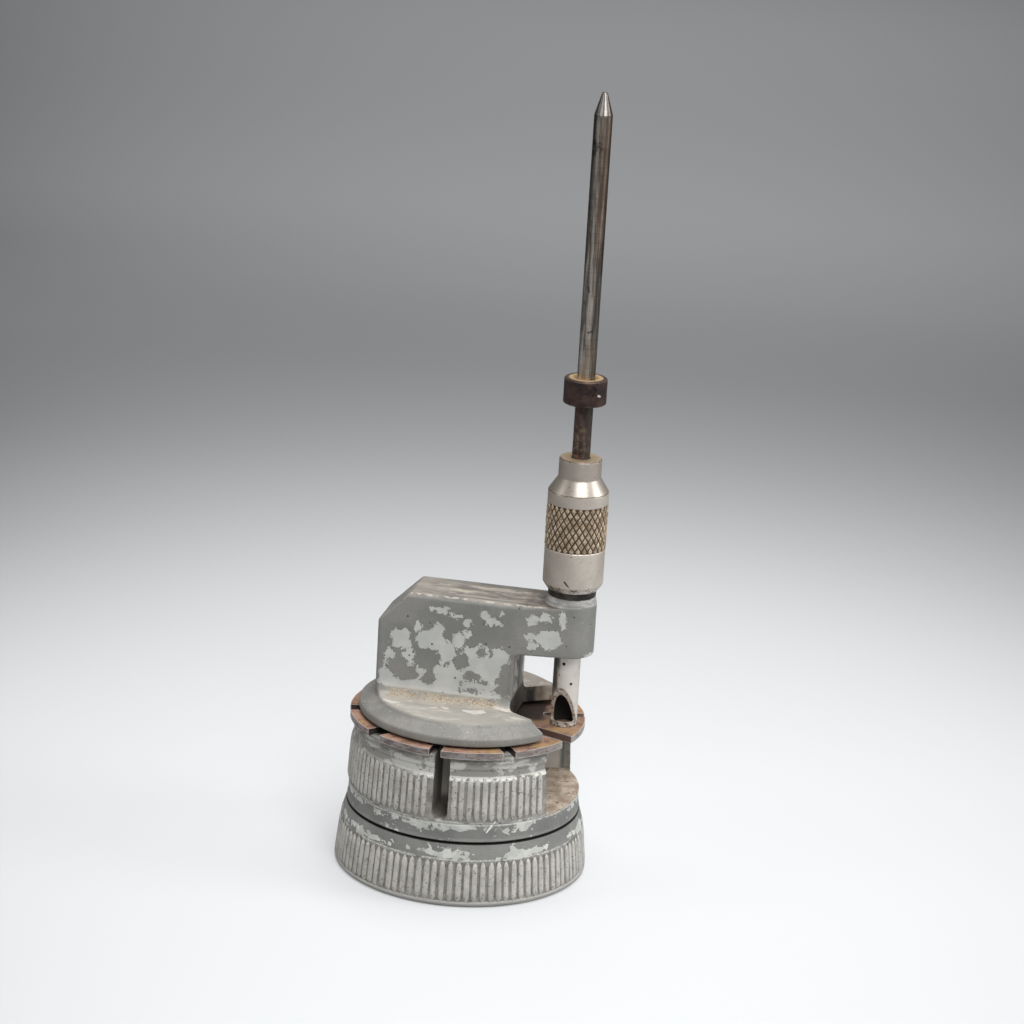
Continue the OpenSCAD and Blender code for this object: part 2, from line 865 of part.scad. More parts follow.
module stop_collar() {
    edge = 0.2;
    color([0.25, 0.19, 0.18])
        at_punch()
            difference() {
                rotate_extrude()
                    polygon([
                        [rod_r, collar_z],
                        [collar_r - edge, collar_z],
                        [collar_r, collar_z + edge],
                        [collar_r, collar_z + collar_h - edge],
                        [collar_r - edge, collar_z + collar_h],
                        [rod_r + collar_sink, collar_z + collar_h],
                        [rod_r, collar_z + collar_h - collar_sink]
                    ]);
                collar_cross_hole();
            }
}

module collar_pin() {
    color([0.30, 0.24, 0.22])
        at_punch()
            translate([0, 0, collar_z + collar_h / 2])
                rotate([90, 0, 20])
                    cylinder(r = collar_pin_r, h = 2 * collar_r - 0.2, center = true, $fn = 32);
}

foot();
foot_bush();
thrust_washer();
spring_washer();
plain_washer();
spindle();
spindle_nut();
nut_pin();
drum();
key_pins();
disc_washer();
slotted_disc();
frame();
spindle_lock_screw();
neck_sleeve();
tube_key_screw();
guide_tube();
tube_snap_ring();
thimble();
thimble_washer();
friction_sleeve();
punch_rod();
stop_collar();
collar_pin();
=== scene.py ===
import math

import bmesh
import bpy
from mathutils import Matrix, Vector
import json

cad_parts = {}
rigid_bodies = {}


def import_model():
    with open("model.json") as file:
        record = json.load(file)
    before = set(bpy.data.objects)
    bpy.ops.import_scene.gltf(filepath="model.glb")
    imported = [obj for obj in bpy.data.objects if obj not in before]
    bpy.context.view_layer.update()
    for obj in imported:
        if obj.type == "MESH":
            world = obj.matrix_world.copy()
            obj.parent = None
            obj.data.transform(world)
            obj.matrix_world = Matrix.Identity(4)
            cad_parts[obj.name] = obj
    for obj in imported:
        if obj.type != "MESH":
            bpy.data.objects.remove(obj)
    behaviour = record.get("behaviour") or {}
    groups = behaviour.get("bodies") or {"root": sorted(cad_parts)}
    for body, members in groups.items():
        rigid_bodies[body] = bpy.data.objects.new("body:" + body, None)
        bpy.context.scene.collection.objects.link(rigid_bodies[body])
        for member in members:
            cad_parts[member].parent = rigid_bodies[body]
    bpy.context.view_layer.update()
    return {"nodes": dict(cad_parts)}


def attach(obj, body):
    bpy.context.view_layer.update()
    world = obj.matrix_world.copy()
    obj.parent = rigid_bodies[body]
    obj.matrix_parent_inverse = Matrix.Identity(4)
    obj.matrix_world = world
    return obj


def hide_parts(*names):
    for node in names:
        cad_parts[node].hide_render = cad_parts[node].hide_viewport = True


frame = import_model()

MM = 0.001

# Places and sizes that more than one finish or piece needs, in millimetres
PUNCH_X = 17.5
ROD_RADIUS = 1.5875
RIBS = 97
KNURL_LOW, KNURL_TOP = 61.7, 69.85
CONE_LOW, CONE_TOP = 72.1, 74.4

# Level direction to the right of the picture
PICTURE_RIGHT = (0.983, 0.182)

# How far the edges of the bare patches wander, in millimetres
PATCH_WANDER = 3.63

# The floor: how much it glows where it is seen, how much of its grey it reflects where it lights the
# tool and where it is seen, and how fast it darkens sideways, near the tool and beyond
FLOOR_GLOW = 0.34
FLOOR_SHARE = 0.42
FLOOR_SEEN_SHARE = 0.6
NEAR_SIDE_FADE = 3.1
SIDE_FADE = 9
# Its greys by the distance from a point just before the tool, as (share of FLOOR_REACH, grey)
FLOOR_REACH = 1500
FLOOR_GREYS = ((0, 243), (0.05, 248), (0.1, 238), (0.14, 228), (0.18, 200), (0.22, 171), (0.26, 154),
               (0.3, 144), (0.36, 157), (0.45, 178), (0.6, 176), (0.8, 191), (1, 178))
WORLD_LEVEL = 0.38

# Lamps: name, place, aim, width, height, power
LAMPS = (("front_box", (0.3, -0.6, 0.78), (0, 0, 0.06), 0.5, 0.4, 7.4),
         ("top_box", (0.05, 0.1, 0.85), (0, 0, 0.05), 0.6, 0.6, 6.4),
         ("right_box", (0.78, 0.06, 0.34), (0, 0, 0.04), 0.3, 0.35, 3.2),
         ("left_box", (-0.7, -0.32, 0.36), (0, 0, 0.04), 0.3, 0.35, 1))


# ---------- small tools ----------

def tone(red, green, blue):
    """Colour as seen, 0 to 255 a channel, turned into the shader's linear colour."""
    def linear(c):
        c = c / 255
        return c / 12.92 if c <= 0.04045 else ((c + 0.055) / 1.055) ** 2.4
    return (linear(red), linear(green), linear(blue), 1)


def ring_points(radius, count):
    """Points of a circle, as (x, y) in millimetres."""
    return [(radius * math.cos(2 * math.pi * k / count), radius * math.sin(2 * math.pi * k / count))
            for k in range(count)]


def softened(outline, radius, steps=3):
    """Outline of (radius, height) with its corners rounded. Points on the axis stay."""
    made = []
    for k, here in enumerate(outline):
        p, a, b = Vector(here), Vector(outline[k - 1]), Vector(outline[(k + 1) % len(outline)])
        on_axis = here[0] < 1e-6 or (p - a).length < 1e-6 or (b - p).length < 1e-6
        if on_axis or (p - a).angle(b - p) < math.radians(18):
            made.append(here)
            continue
        back = min(radius, 0.45 * (p - a).length)
        on = min(radius, 0.45 * (b - p).length)
        start, end = p + (a - p).normalized() * back, p + (b - p).normalized() * on
        for s in range(steps + 1):
            t = s / steps
            q = start * (1 - t) ** 2 + p * 2 * t * (1 - t) + end * t ** 2
            made.append((q.x, q.y))
    return made


def placed(name, data):
    """New object in the scene."""
    obj = bpy.data.objects.new(name, data)
    bpy.context.scene.collection.objects.link(obj)
    return obj


def finished(name, mesh, material, flat=30):
    """New object from a mesh, smooth but for the edges sharper than flat degrees."""
    for face in mesh.polygons:
        face.use_smooth = True
    mesh.set_sharp_from_angle(angle=math.radians(flat))
    mesh.materials.clear()
    mesh.materials.append(material)
    return placed(name, mesh)


def from_bmesh(name, work):
    """Mesh datablock from a bmesh, with its doubles merged and its faces turned outwards."""
    bmesh.ops.remove_doubles(work, verts=work.verts, dist=1e-7)
    bmesh.ops.recalc_face_normals(work, faces=work.faces)
    mesh = bpy.data.meshes.new(name)
    work.to_mesh(mesh)
    work.free()
    return mesh


def turned(name, outline, material, steps=192, centre=(0, 0)):
    """Solid turned round an upright axis from a closed outline of (radius, height) in millimetres."""
    work = bmesh.new()
    rings = []
    for radius, height in outline:
        places = [(0, 0)] if radius < 1e-6 else ring_points(radius, steps)
        rings.append([work.verts.new(((x + centre[0]) * MM, (y + centre[1]) * MM, height * MM))
            for x, y in places])
    for low, high in zip(rings, rings[1:] + rings[:1]):
        if len(low) == 1 and len(high) == 1:
            continue
        for k in range(steps):
            n = (k + 1) % steps
            corners = [low[k % len(low)], low[n % len(low)], high[n % len(high)], high[k % len(high)]]
            work.faces.new([v for i, v in enumerate(corners) if v not in corners[:i]])
    return finished(name, from_bmesh(name, work), material)


def plain_mesh(obj, name, material, flat=30):
    """Object with its modifiers made real, which takes the place of obj."""
    graph = bpy.context.evaluated_depsgraph_get()
    mesh = bpy.data.meshes.new_from_object(obj.evaluated_get(graph))
    mesh.name = name
    bpy.data.objects.remove(obj)
    return finished(name, mesh, material, flat)


def carved(obj, cutters, name, material):
    """obj less the cutters, which are used up."""
    for cutter in cutters:
        step = obj.modifiers.new("cut", "BOOLEAN")
        step.operation = "DIFFERENCE"
        step.solver = "EXACT"
        step.object = cutter
    made = plain_mesh(obj, name, material)
    for cutter in cutters:
        bpy.data.objects.remove(cutter)
    return made


class Nodes:
    """Node tree wired by short names. A kind without Node in its name is a shader node's."""

    def node(self, kind, inputs=(), **settings):
        made = self.tree.nodes.new(kind if "Node" in kind else "ShaderNode" + kind)
        for key, value in settings.items():
            setattr(made, key, value)
        for key, value in dict(inputs).items():
            self.put(made.inputs[key], value)
        return made

    def put(self, socket, value):
        if isinstance(value, bpy.types.NodeSocket):
            self.tree.links.new(value, socket)
        else:
            socket.default_value = value

    def math(self, work, a, b=0, clamp=False):
        return self.node("Math", {0: a, 1: b}, operation=work, use_clamp=clamp).outputs[0]

    def add(self, total, *values):
        for value in values:
            total = self.math("ADD", total, value)
        return total

    def times(self, total, *values):
        for value in values:
            total = self.math("MULTIPLY", total, value)
        return total

    def less(self, a, b):
        return self.math("SUBTRACT", a, b)

    def share(self, a, b):
        return self.math("DIVIDE", a, b)


# ---------- recipes for finishes ----------

class Recipe(Nodes):
    """Nodes of one finish. Places and sizes are in millimetres of the object's own frame, and a
    colour is a socket, a tone or the three numbers of one."""

    def __init__(self, name):
        self.material = bpy.data.materials.new(name)
        self.material.use_nodes = True
        self.tree = self.material.node_tree
        self.tree.nodes.clear()
        self.shader = self.node("BsdfPrincipled")
        self.end = self.node("OutputMaterial", {0: self.shader.outputs[0]})
        coordinates = self.node("TexCoord")
        self.place = self.vector("SCALE", coordinates.outputs["Object"], scale=1 / MM)
        self.x, self.y, self.z = self.split(self.place)
        self.normal = self.node("NewGeometry").outputs["Normal"]

    def vector(self, work, a, b=None, scale=None):
        given = {key: value for key, value in ((0, a), (1, b), ("Scale", scale)) if value is not None}
        made = self.node("VectorMath", given, operation=work)
        return made.outputs["Value" if work in ("LENGTH", "DOT_PRODUCT") else "Vector"]

    def split(self, vector):
        return self.node("SeparateXYZ", {0: vector}).outputs

    def other(self, value):
        return self.math("SUBTRACT", 1, value, clamp=True)

    def both(self, a, b):
        return self.math("MAXIMUM", a, b)

    def ease(self, value, low, high, start=0, end=1):
        """Smooth step from start at low to end at high."""
        return self.node("MapRange", enumerate((value, low, high, start, end)),
            interpolation_type="SMOOTHSTEP", clamp=True).outputs[0]

    def band(self, value, low, high, soft):
        """1 between low and high, falling to 0 over soft on both sides."""
        return self.times(self.ease(value, low - soft, low + soft),
            self.ease(value, high - soft, high + soft, 1, 0))

    def moved(self, at, stretch=(1, 1, 1)):
        place = self.vector("MULTIPLY", self.place, tuple(1 / s for s in stretch))
        return self.vector("ADD", place, (at * 7.3, at * 3.9, at * 5.1))

    def noise(self, size, detail=4.0, rough=0.55, bend=0.0, at=0.0, stretch=(1, 1, 1)):
        """Cloudy value about 0.5, whose lumps are about size millimetres wide; at picks one part of it."""
        return self.node("TexNoise", {
            "Vector": self.moved(at, stretch), "Scale": 1 / size, "Detail": detail,
            "Roughness": rough, "Distortion": bend}).outputs["Fac"]

    def cloud(self, low, high, *sizes, **more):
        """Patches of the noise of these sizes: 0 at low, 1 at high."""
        return self.ease(self.noise(*sizes, **more), low, high)

    def swing(self, *sizes, **more):
        """Noise of these sizes about 0."""
        return self.less(self.noise(*sizes, **more), 0.5)

    def spots(self, size, width, rarity=0.5, at=0):
        """1 inside small round spots, width of a cell wide, where a cloud is above rarity."""
        away = self.node("TexVoronoi", {"Vector": self.moved(at), "Scale": 1 / size})
        dots = self.ease(away.outputs["Distance"], width * 0.7, width, 1, 0)
        return self.times(dots, self.cloud(rarity, rarity + 0.03, size * 2.3, 2, at=at + 4))

    def blend(self, amount, a, b):
        """Colour that goes from a to b with amount."""
        a, b = (tone(*c) if isinstance(c, tuple) and len(c) == 3 else c for c in (a, b))
        return self.node("Mix", {0: amount, 6: a, 7: b}, data_type="RGBA").outputs[2]

    def mottled(self, a, b, low, high, *sizes, **more):
        """Two colours in patches of the noise of these sizes: a at low, b at high."""
        return self.blend(self.cloud(low, high, *sizes, **more), a, b)

    def over(self, colour, *coats):
        """colour under its coats, the lowest first, each given as (its colour, share, share, ...)."""
        for coat, *shares in coats:
            colour = self.blend(self.times(*shares), colour, coat)
        return colour

    def level(self, amount, a, b):
        """Number that goes from a to b with amount."""
        return self.node("Mix", {0: amount, 2: a, 3: b}, data_type="FLOAT").outputs[0]

    def dim(self, colour, amount):
        """colour multiplied by a number."""
        return self.vector("SCALE", colour, scale=amount)

    def patches(self, ovals):
        """Over 0 inside ragged ovals of a face along the arm, given as (x, z, half width, half height)."""
        bend = self.node("TexNoise", {
            "Vector": self.place, "Scale": 0.66, "Detail": 6, "Roughness": 0.74}).outputs["Color"]
        bend = self.vector("SUBTRACT", bend, (0.5, 0.5, 0.5))
        bent = self.vector("ADD", self.place, self.vector("SCALE", bend, scale=PATCH_WANDER))
        best = -9
        for x, z, wide, tall in ovals:
            away = self.vector("SUBTRACT", bent, (x, 0, z))
            away = self.vector("LENGTH", self.vector("MULTIPLY", away, (1 / wide, 0, 1 / tall)))
            best = self.both(self.times(self.less(1, away), min(wide, tall)), best)
        return best

    def radius(self, centre=(0, 0)):
        """Distance from an upright axis."""
        x, y = self.less(self.x, centre[0]), self.less(self.y, centre[1])
        return self.math("SQRT", self.add(self.times(x, x), self.times(y, y)))

    def from_punch(self):
        return self.radius((PUNCH_X, 0))

    def across(self, direction):
        """Way from the punch's axis in a level direction, given as (x, y)."""
        x, y = direction
        return self.add(self.times(self.less(self.x, PUNCH_X), x), self.times(self.y, y))

    def scratch(self, start, end, width):
        """1 along a straight mark between two places."""
        along = Vector(end) - Vector(start)
        from_start = self.vector("SUBTRACT", self.place, tuple(start))
        share = self.vector("DOT_PRODUCT", from_start, tuple(along))
        share = self.math("MULTIPLY", share, 1 / along.length_squared, True)
        away = self.vector("SUBTRACT", from_start, self.vector("SCALE", tuple(along), scale=share))
        return self.ease(self.vector("LENGTH", away), width, width * 0.5)

    def worn_edge(self, width, high, low=0.03):
        """1 on edges and corners that stand out."""
        made = self.node("Bevel", {"Radius": width * MM}, samples=6)
        return self.ease(self.other(self.vector("DOT_PRODUCT", made.outputs[0], self.normal)), low, high)

    def bump(self, height, depth):
        """Relief of depth millimetres between height 0 and height 1."""
        made = self.node("Bump", {"Strength": 1, "Distance": depth * MM, "Height": height})
        self.put(self.shader.inputs["Normal"], made.outputs[0])

    def done(self, colour, rough, metal=0, specular=0.5):
        for key, value in (("Base Color", colour), ("Roughness", rough), ("Metallic", metal),
                ("Specular IOR Level", specular)):
            self.put(self.shader.inputs[key], value)
        return self.material


# Places on the column's and the arm's front face where the paint has come off, and islands of paint
# that are left in them: x, z, half width, half height
BARE_PATCHES = (
    (-4.9, 48.7, 1.9, 0.7), (-1.8, 48.2, 1.5, 0.5), (0.1, 47, 0.95, 0.95), (3.3, 48.9, 0.9, 0.9),
    (4.4, 47.9, 1, 0.9), (5.9, 47.6, 0.9, 0.5), (6.1, 49.4, 0.4, 0.4), (-8.9, 45.3, 0.9, 1),
    (-5, 45.2, 1.2, 1.3), (-11.6, 42.6, 2.2, 2), (-6.6, 43.1, 2.6, 1.9), (-13.8, 38.6, 0.8, 2.3),
    (-10.2, 39.4, 1.2, 2), (-1.3, 43.5, 1.2, 1.5), (0.2, 44.8, 0.8, 0.9), (-3.4, 41.1, 1.8, 2.3),
    (2.5, 41.1, 3.2, 2), (5.9, 41.1, 2.2, 2), (3.4, 38.3, 3.6, 2.2), (3, 36, 3.2, 1.7),
    (-8, 36.8, 1, 1.4), (-2.7, 37.2, 2.8, 2.4), (-4, 34.2, 11.5, 1.5), (-14, 35.4, 1.4, 1.9),
    (11.8, 45.7, 1.3, 0.8), (11.9, 44.1, 1.4, 0.75), (14.9, 45.4, 2.2, 1.9), (11.9, 48.9, 1.2, 0.9),
    (14, 49.3, 1.2, 0.8), (17, 48.9, 0.7, 1.8))
PAINT_ISLANDS = (
    (-9.6, 43.1, 0.6, 1.1), (-6.6, 40, 1.9, 1.1), (-7.5, 38.6, 1.1, 1.2), (-12, 37.6, 1.8, 1.6),
    (-10.4, 36.1, 1.9, 1.1), (-6.2, 35.8, 1.1, 1.1), (-0.8, 39.8, 1.2, 1.5), (1.4, 37.2, 1.5, 0.7),
    (2.8, 41.9, 0.75, 0.75), (4.6, 41.9, 0.45, 0.5), (3.7, 36.3, 0.8, 0.4), (7.6, 37, 1.3, 3.2),
    (1.2, 34.6, 1.5, 0.35), (-3, 38.9, 0.4, 0.4))


def flaked_frame_paint():
    """Grey paint on the column and the arm, flaked to the pale primer low on the column."""
    f = Recipe("flaked_frame_paint")
    faces_up = f.split(f.normal)[2]
    front = f.ease(f.y, -3.2, -4.4)
    fine = f.swing(0.55, 4, 0.62, at=8)
    bare = f.patches(BARE_PATCHES)
    kept = f.patches(PAINT_ISLANDS)
    finest = f.swing(0.24, 2, 0.5, at=61)
    bare = f.add(f.math("MINIMUM", bare, f.times(kept, -1)), f.times(fine, 1.15), f.times(finest, 0.55))
    painted = f.ease(bare, 0.01, 0.05)
    wide = f.add(f.times(f.noise(5.2, 5, 0.6, 0.3, at=3.1), 0.72),
        f.times(f.noise(1.5, 5, 0.62, 0.2, at=8), 0.28), f.times(f.band(f.z, 34, 43, 3), 0.06))
    flake = f.level(front, f.ease(wide, 0.6, 0.608), painted)
    flake = f.times(flake, f.ease(faces_up, 0.55, 0.35))
    paint = f.mottled((118, 119, 115), (131, 130, 126), 0.35, 0.65, 7, at=1)
    paint = f.mottled(f.dim(paint, 0.92), paint, 0.3, 0.7, 0.5, 3, at=2)
    primer = f.mottled((174, 176, 173), (187, 187, 183), 0.35, 0.68, 3.5, at=5)
    rim_of_flake = f.times(f.ease(bare, -0.1, 0), f.ease(bare, 0.1, 0.03), front)
    pits = f.spots(1.5, 0.15, 0.5, at=6)
    edge = f.times(f.worn_edge(0.45, 0.06, 0.012), f.cloud(0.36, 0.55, 1.6, at=12))
    colour = f.over(f.blend(flake, paint, primer),
        ((96, 95, 90), rim_of_flake, f.ease(faces_up, 0.55, 0.35), 0.22),
        ((70, 66, 58), pits, 0.85),
        ((172, 171, 165), edge, 0.5))

    # Scuffed top face of the arm and the chamfer
    on_top = f.times(f.ease(faces_up, 0.45, 0.8), f.ease(f.z, 44, 47))
    streaks = f.noise(2.2, 5, 0.62, 0.3, at=15, stretch=(4, 1, 1))
    border = f.both(f.ease(f.y, 2.6, 3.6), f.band(f.y, -4.5, -3.9, 0.15))
    purple = f.times(f.ease(f.x, 7.5, 10.5), f.cloud(0.38, 0.58, 2.6, at=17))
    edge_line = f.times(f.band(f.y, -5.3, -4.9, 0.12), f.cloud(0.44, 0.56, 0.9, 3, at=16))
    worn_top = f.over(f.blend(f.ease(streaks, 0.4, 0.6), (96, 91, 86), (136, 130, 122)),
        ((160, 152, 138), f.cloud(0.55, 0.66, 1.4, 5, 0.62, at=18, stretch=(2.8, 1, 1))),
        ((70, 63, 60), f.cloud(0.6, 0.68, 1, at=19, stretch=(3.5, 1, 1))),
        ((84, 82, 78), border, 0.65),
        ((84, 75, 70), purple, 0.85),
        ((150, 142, 135), f.ease(f.x, -2, -9), 0.42),
        ((184, 180, 172), edge_line, 0.6))
    colour = f.over(colour, (worn_top, on_top, f.level(f.ease(f.x, -14, -10.5), 0.12, 0.95)))

    chamfer = f.times(f.ease(f.x, -11, -12), f.ease(f.z, 43, 44.5), f.ease(faces_up, 0.45, 0.6))
    colour = f.over(colour, ((90, 90, 86), chamfer, f.cloud(0.62, 0.5, 2.4, at=63), 0.5))

    # Rubbed lip round the neck
    lip = f.times(f.ease(f.z, 51.3, 51.55), f.ease(f.from_punch(), 5.2, 4.8))
    rubbed = f.mottled((128, 128, 126), (168, 167, 164), 0.38, 0.6, 1.3, 5, 0.62, at=60,
        stretch=(2, 2, 0.6))
    colour = f.over(colour, (rubbed, lip))

    # Scuffed flange, with dust and crumbs along the foot of the column
    on_flange = f.ease(f.z, 33, 32.4)
    on_cone = f.times(on_flange, f.ease(f.radius(), 16.5, 16.9))
    side = f.less(f.math("ABSOLUTE", f.y), 5.65)
    scuff = f.cloud(0.44, 0.6, 3, 5, 0.6, 0.4, at=21, stretch=(1.8, 1, 1))
    white = f.times(f.cloud(0.53, 0.57, 2.2, 5, 0.6, 0.5, at=22, stretch=(1.7, 1, 1)), f.ease(side, 6.8, 4))
    crease = f.band(f.radius(), 16.35, 16.65, 0.15)
    flange = f.over(f.blend(scuff, (142, 139, 132), (158, 154, 146)),
        ((194, 188, 181), white, 0.9),
        ((104, 102, 97), crease, 0.5))
    specks = f.cloud(0.65, 0.69, 0.42, 2, at=26)
    rim = f.ease(f.z, 30.5, 30.2)
    cone = f.over(f.mottled((112, 111, 107), (125, 123, 118), 0.4, 0.66, 4, at=24),
        ((168, 164, 156), specks, 0.7),
        ((92, 90, 85), f.cloud(0.6, 0.68, 0.5, 3, at=27), 0.4),
        ((128, 127, 122), rim, 0.4))
    near = f.times(f.ease(side, 3.8, 0.4), f.ease(f.z, 34.4, 32.6), f.ease(side, -0.6, -0.2),
        f.band(f.x, -13.8, 6.6, 1.3))
    dust = f.times(near, f.cloud(0.3, 0.55, 1.6, at=29))
    crumbs = f.ease(f.add(f.times(near, 0.34), f.noise(0.5, 3, 0.62, at=30)), 0.78, 0.86)
    sand = f.over(f.mottled((152, 134, 108), (188, 176, 154), 0.42, 0.58, 0.4, 2, at=33),
        ((160, 112, 74), f.cloud(0.6, 0.64, 0.3, 1, at=36)),
        ((98, 84, 68), f.cloud(0.6, 0.64, 0.3, 1, at=38)))
    colour = f.over(colour,
        (flange, on_flange, f.other(on_cone)),
        (cone, on_cone),
        ((170, 160, 142), dust, 0.65),
        (sand, crumbs, 0.85))

    # Grime in the throat and under the arm; low on the throat wall, a near-black painted shadow by the
    # column and painted light, paler, further out; the flange top on the far side of the throat darker in
    # patches
    throat = f.times(f.ease(f.x, 7.4, 8.7), f.ease(f.z, 42.6, 41.8), f.ease(faces_up, 0.5, 0.2),
        f.ease(f.radius(), 19.2, 18.6))
    grime = f.times(throat, f.cloud(0.26, 0.6, 2.4, at=40))
    # Painted shadow, near black, low on the throat wall by the column, and painted light further out, with
    # dark spots
    low_wall_shade_and_light = f.over(f.blend(f.ease(f.x, 10.2, 11.2), (14, 11, 10), (130, 118, 105)),
        ((182, 171, 158), f.ease(f.x, 11.6, 13)),
        ((90, 76, 66), f.cloud(0.5, 0.64, 1.4, at=42), 0.5))
    far_side = f.times(on_flange, f.ease(f.y, 4.5, 6.5), f.ease(f.x, 6, 8), f.ease(faces_up, 0.5, 0.8))
    colour = f.over(colour,
        ((84, 74, 66), grime, 0.3),
        (low_wall_shade_and_light, throat, f.ease(f.z, 34.2, 33), 0.92),
        ((136, 124, 114), far_side, f.cloud(0.36, 0.56, 1.8, at=43), 0.6))

    rough = f.level(flake, f.level(f.noise(1.2, 3, at=50), 0.5, 0.66), 0.42)
    rough = f.level(f.both(crumbs, on_top), rough, 0.74)
    relief = f.add(f.times(f.other(flake), 1), f.times(f.noise(0.35, 3, at=52), 0.35),
        f.times(crumbs, f.noise(0.3, 2, at=54), 2.2), f.times(pits, -1.2),
        f.times(f.noise(2.5, 3, at=57), 0.5))
    f.bump(relief, 0.05)
    return f.done(colour, rough, 0, specular=0.4)


def worn_casting(name, ribs, chips, bare, bead_at, core):
    """Grey paint over a ribbed casting: dull pitted ribs, chipped flange and a bare band.
    chips is (edge they start from, reach); ribs, bare and bead_at are (low, high) heights; core is
    ((height, radius), (height, radius)) between the ribs."""
    f = Recipe(name)
    out = f.radius()
    (z0, r0), (z1, r1) = core
    ground = f.add(r0, f.times(f.less(f.z, z0), (r1 - r0) / (z1 - z0)))
    stands = f.ease(f.less(out, ground), 0.02, 0.1)
    on_ribs = f.band(f.z, ribs[0], ribs[1], 0.1)
    outside = f.ease(out, 19.7, 19.9)

    # Paint between the bands, flaked in crisp chips
    paint = f.mottled((108, 109, 107), (121, 121, 118), 0.36, 0.64, 6, at=1)
    paint = f.mottled(f.dim(paint, 0.93), paint, 0.3, 0.7, 0.5, 3, at=3)
    wide = f.noise(3.4, 5, 0.62, 0.3, at=2.2, stretch=(1.5, 1.5, 0.8))
    fine = f.noise(1, 4, 0.6, 0.2, at=5)
    zone = f.ease(f.math("ABSOLUTE", f.less(f.z, chips[0])), chips[1], 0)
    finest = f.swing(0.26, 2, 0.5, at=52)
    height = f.add(f.times(wide, 0.68), f.times(fine, 0.32), f.times(zone, zone, 0.105),
        f.times(finest, 0.035))
    chip = f.times(f.ease(height, 0.592, 0.6), f.ease(f.z, 1, 1.3))
    primer = f.mottled((166, 168, 164), (186, 187, 181), 0.4, 0.6, 2.5, 3, at=9)
    colour = f.blend(chip, paint, primer)

    # Bare band, pale and blotched, with painted shade along its top under the disc, and near its foot white
    # that is bare metal with a painted highlight, stronger on the right
    blotch = f.cloud(0.47, 0.52, 3.6, 5, 0.6, 0.4, at=12, stretch=(1.3, 1.3, 0.8))
    # Painted shade along the top of the bare band, under the disc
    dark = f.times(f.ease(f.z, bare[1] - 1.9, bare[1] - 1.1),
        f.cloud(0.4, 0.54, 2, 5, 0.6, at=13, stretch=(1.6, 1.6, 0.6)))
    near_tips = f.ease(f.z, bare[0] + 0.45, bare[0] + 0.2)
    # Bare metal with a painted highlight, stronger towards the right
    bare_and_highlight = f.times(f.cloud(0.4, 0.48, 2.6, 4, 0.6, at=16), f.level(f.ease(f.x, -7, -3), 0.25, 1))
    white = f.times(near_tips, bare_and_highlight)
    worn = f.over(f.blend(blotch, (176, 176, 171), (134, 133, 128)),
        ((98, 96, 91), dark, 0.7),
        ((112, 103, 90), f.cloud(0.62, 0.68, 0.8, 3, at=14)),
        ((206, 205, 199), white, 0.8))
    on_bare = f.band(f.z, bare[0], bare[1], 0.12)
    colour = f.over(colour, (worn, on_bare, outside))

    # Ribs: dirt between them, rubbed crests, dark pits, and on the drum white in the notches above the rib
    # tips, bare metal with a painted highlight
    tip = f.both(f.ease(f.z, ribs[1] - 0.9, ribs[1] - 0.4), f.ease(f.z, ribs[0] + 0.5, ribs[0] + 0.1))
    crest = f.over(f.mottled((158, 156, 151), (177, 175, 170), 0.38, 0.62, 3.5, at=20),
        ((138, 134, 127), f.cloud(0.56, 0.7, 0.5, 3, at=22)),
        ((196, 195, 190), tip, f.cloud(0.42, 0.6, 1.4, 3, at=24), 0.6))
    dirt = f.mottled((112, 109, 103), (138, 135, 128), 0.36, 0.64, 1.5, at=26)
    ribbed = f.blend(stands, dirt, crest)
    # White in the notches above the rib tips: bare metal with a painted highlight
    notch = f.times(f.other(stands), f.ease(f.z, ribs[1] - 0.75, ribs[1] - 0.45), on_ribs, outside)
    pits = f.both(f.spots(0.8, 0.2, 0.46, at=28), f.spots(0.45, 0.22, 0.5, at=31))
    pits = f.times(pits, f.level(on_ribs, 0.4, 1))
    colour = f.over(colour,
        (ribbed, on_ribs, outside),
        ((222, 221, 214), notch, bare_and_highlight, 1 if bare[1] > bare[0] + 1 else 0),
        ((78, 72, 64), pits, 0.75))

    bead = f.times(f.band(f.z, bead_at[0], bead_at[1], 0.12), outside,
        f.cloud(0.4, 0.48, 1.6, at=33, stretch=(1.5, 1.5, 1)))
    bead = f.times(bead, f.level(f.cloud(0.4, 0.56, 0.42, 3, at=50), 0.35, 1))
    edge = f.times(f.worn_edge(0.3, 0.12), f.other(f.times(on_ribs, outside)), f.ease(f.z, 1, 1.3),
        f.cloud(0.42, 0.56, 1.2, at=34))
    colour = f.over(colour, ((188, 187, 182), bead, 0.9), ((186, 186, 181), edge, 0.7))

    bright_scratch = f.both(f.scratch((8.32, -19.14, 13.55), (9.08, -18.7, 14.75), 0.17),
        f.scratch((9.08, -18.7, 14.75), (9.61, -18.62, 15.4), 0.17))
    # Lighter lowest edge, a bright scratch, and a near-black painted shadow in the gap between the foot and
    # the drum
    colour = f.over(colour,
        ((160, 159, 155), f.ease(f.z, 1.15, 0.85), 0.6),
        ((232, 230, 222), bright_scratch, 0.9),
        ((12, 11, 10), f.band(f.z, 11.24, 11.68, 0.04), 0.93))

    # Inside the cuts of the drum: walls painted pale as painted light, with painted shade on the groove's
    # left wall and lower end, and a brown floor in the pocket
    inside = f.times(f.ease(out, 19.6, 18.8), f.ease(f.z, 14.9, 15.05))
    floor = f.times(f.ease(f.z, 15.5, 15.3), f.ease(f.from_punch(), 11.7, 11.5), f.ease(f.z, 14.9, 15.05))
    # Painted shade on the groove's left wall and lower end
    groove_shade = f.times(f.ease(f.y, -8, -9), f.both(f.ease(f.x, -1.15, -1.38), f.ease(f.z, 18.4, 16.6)))
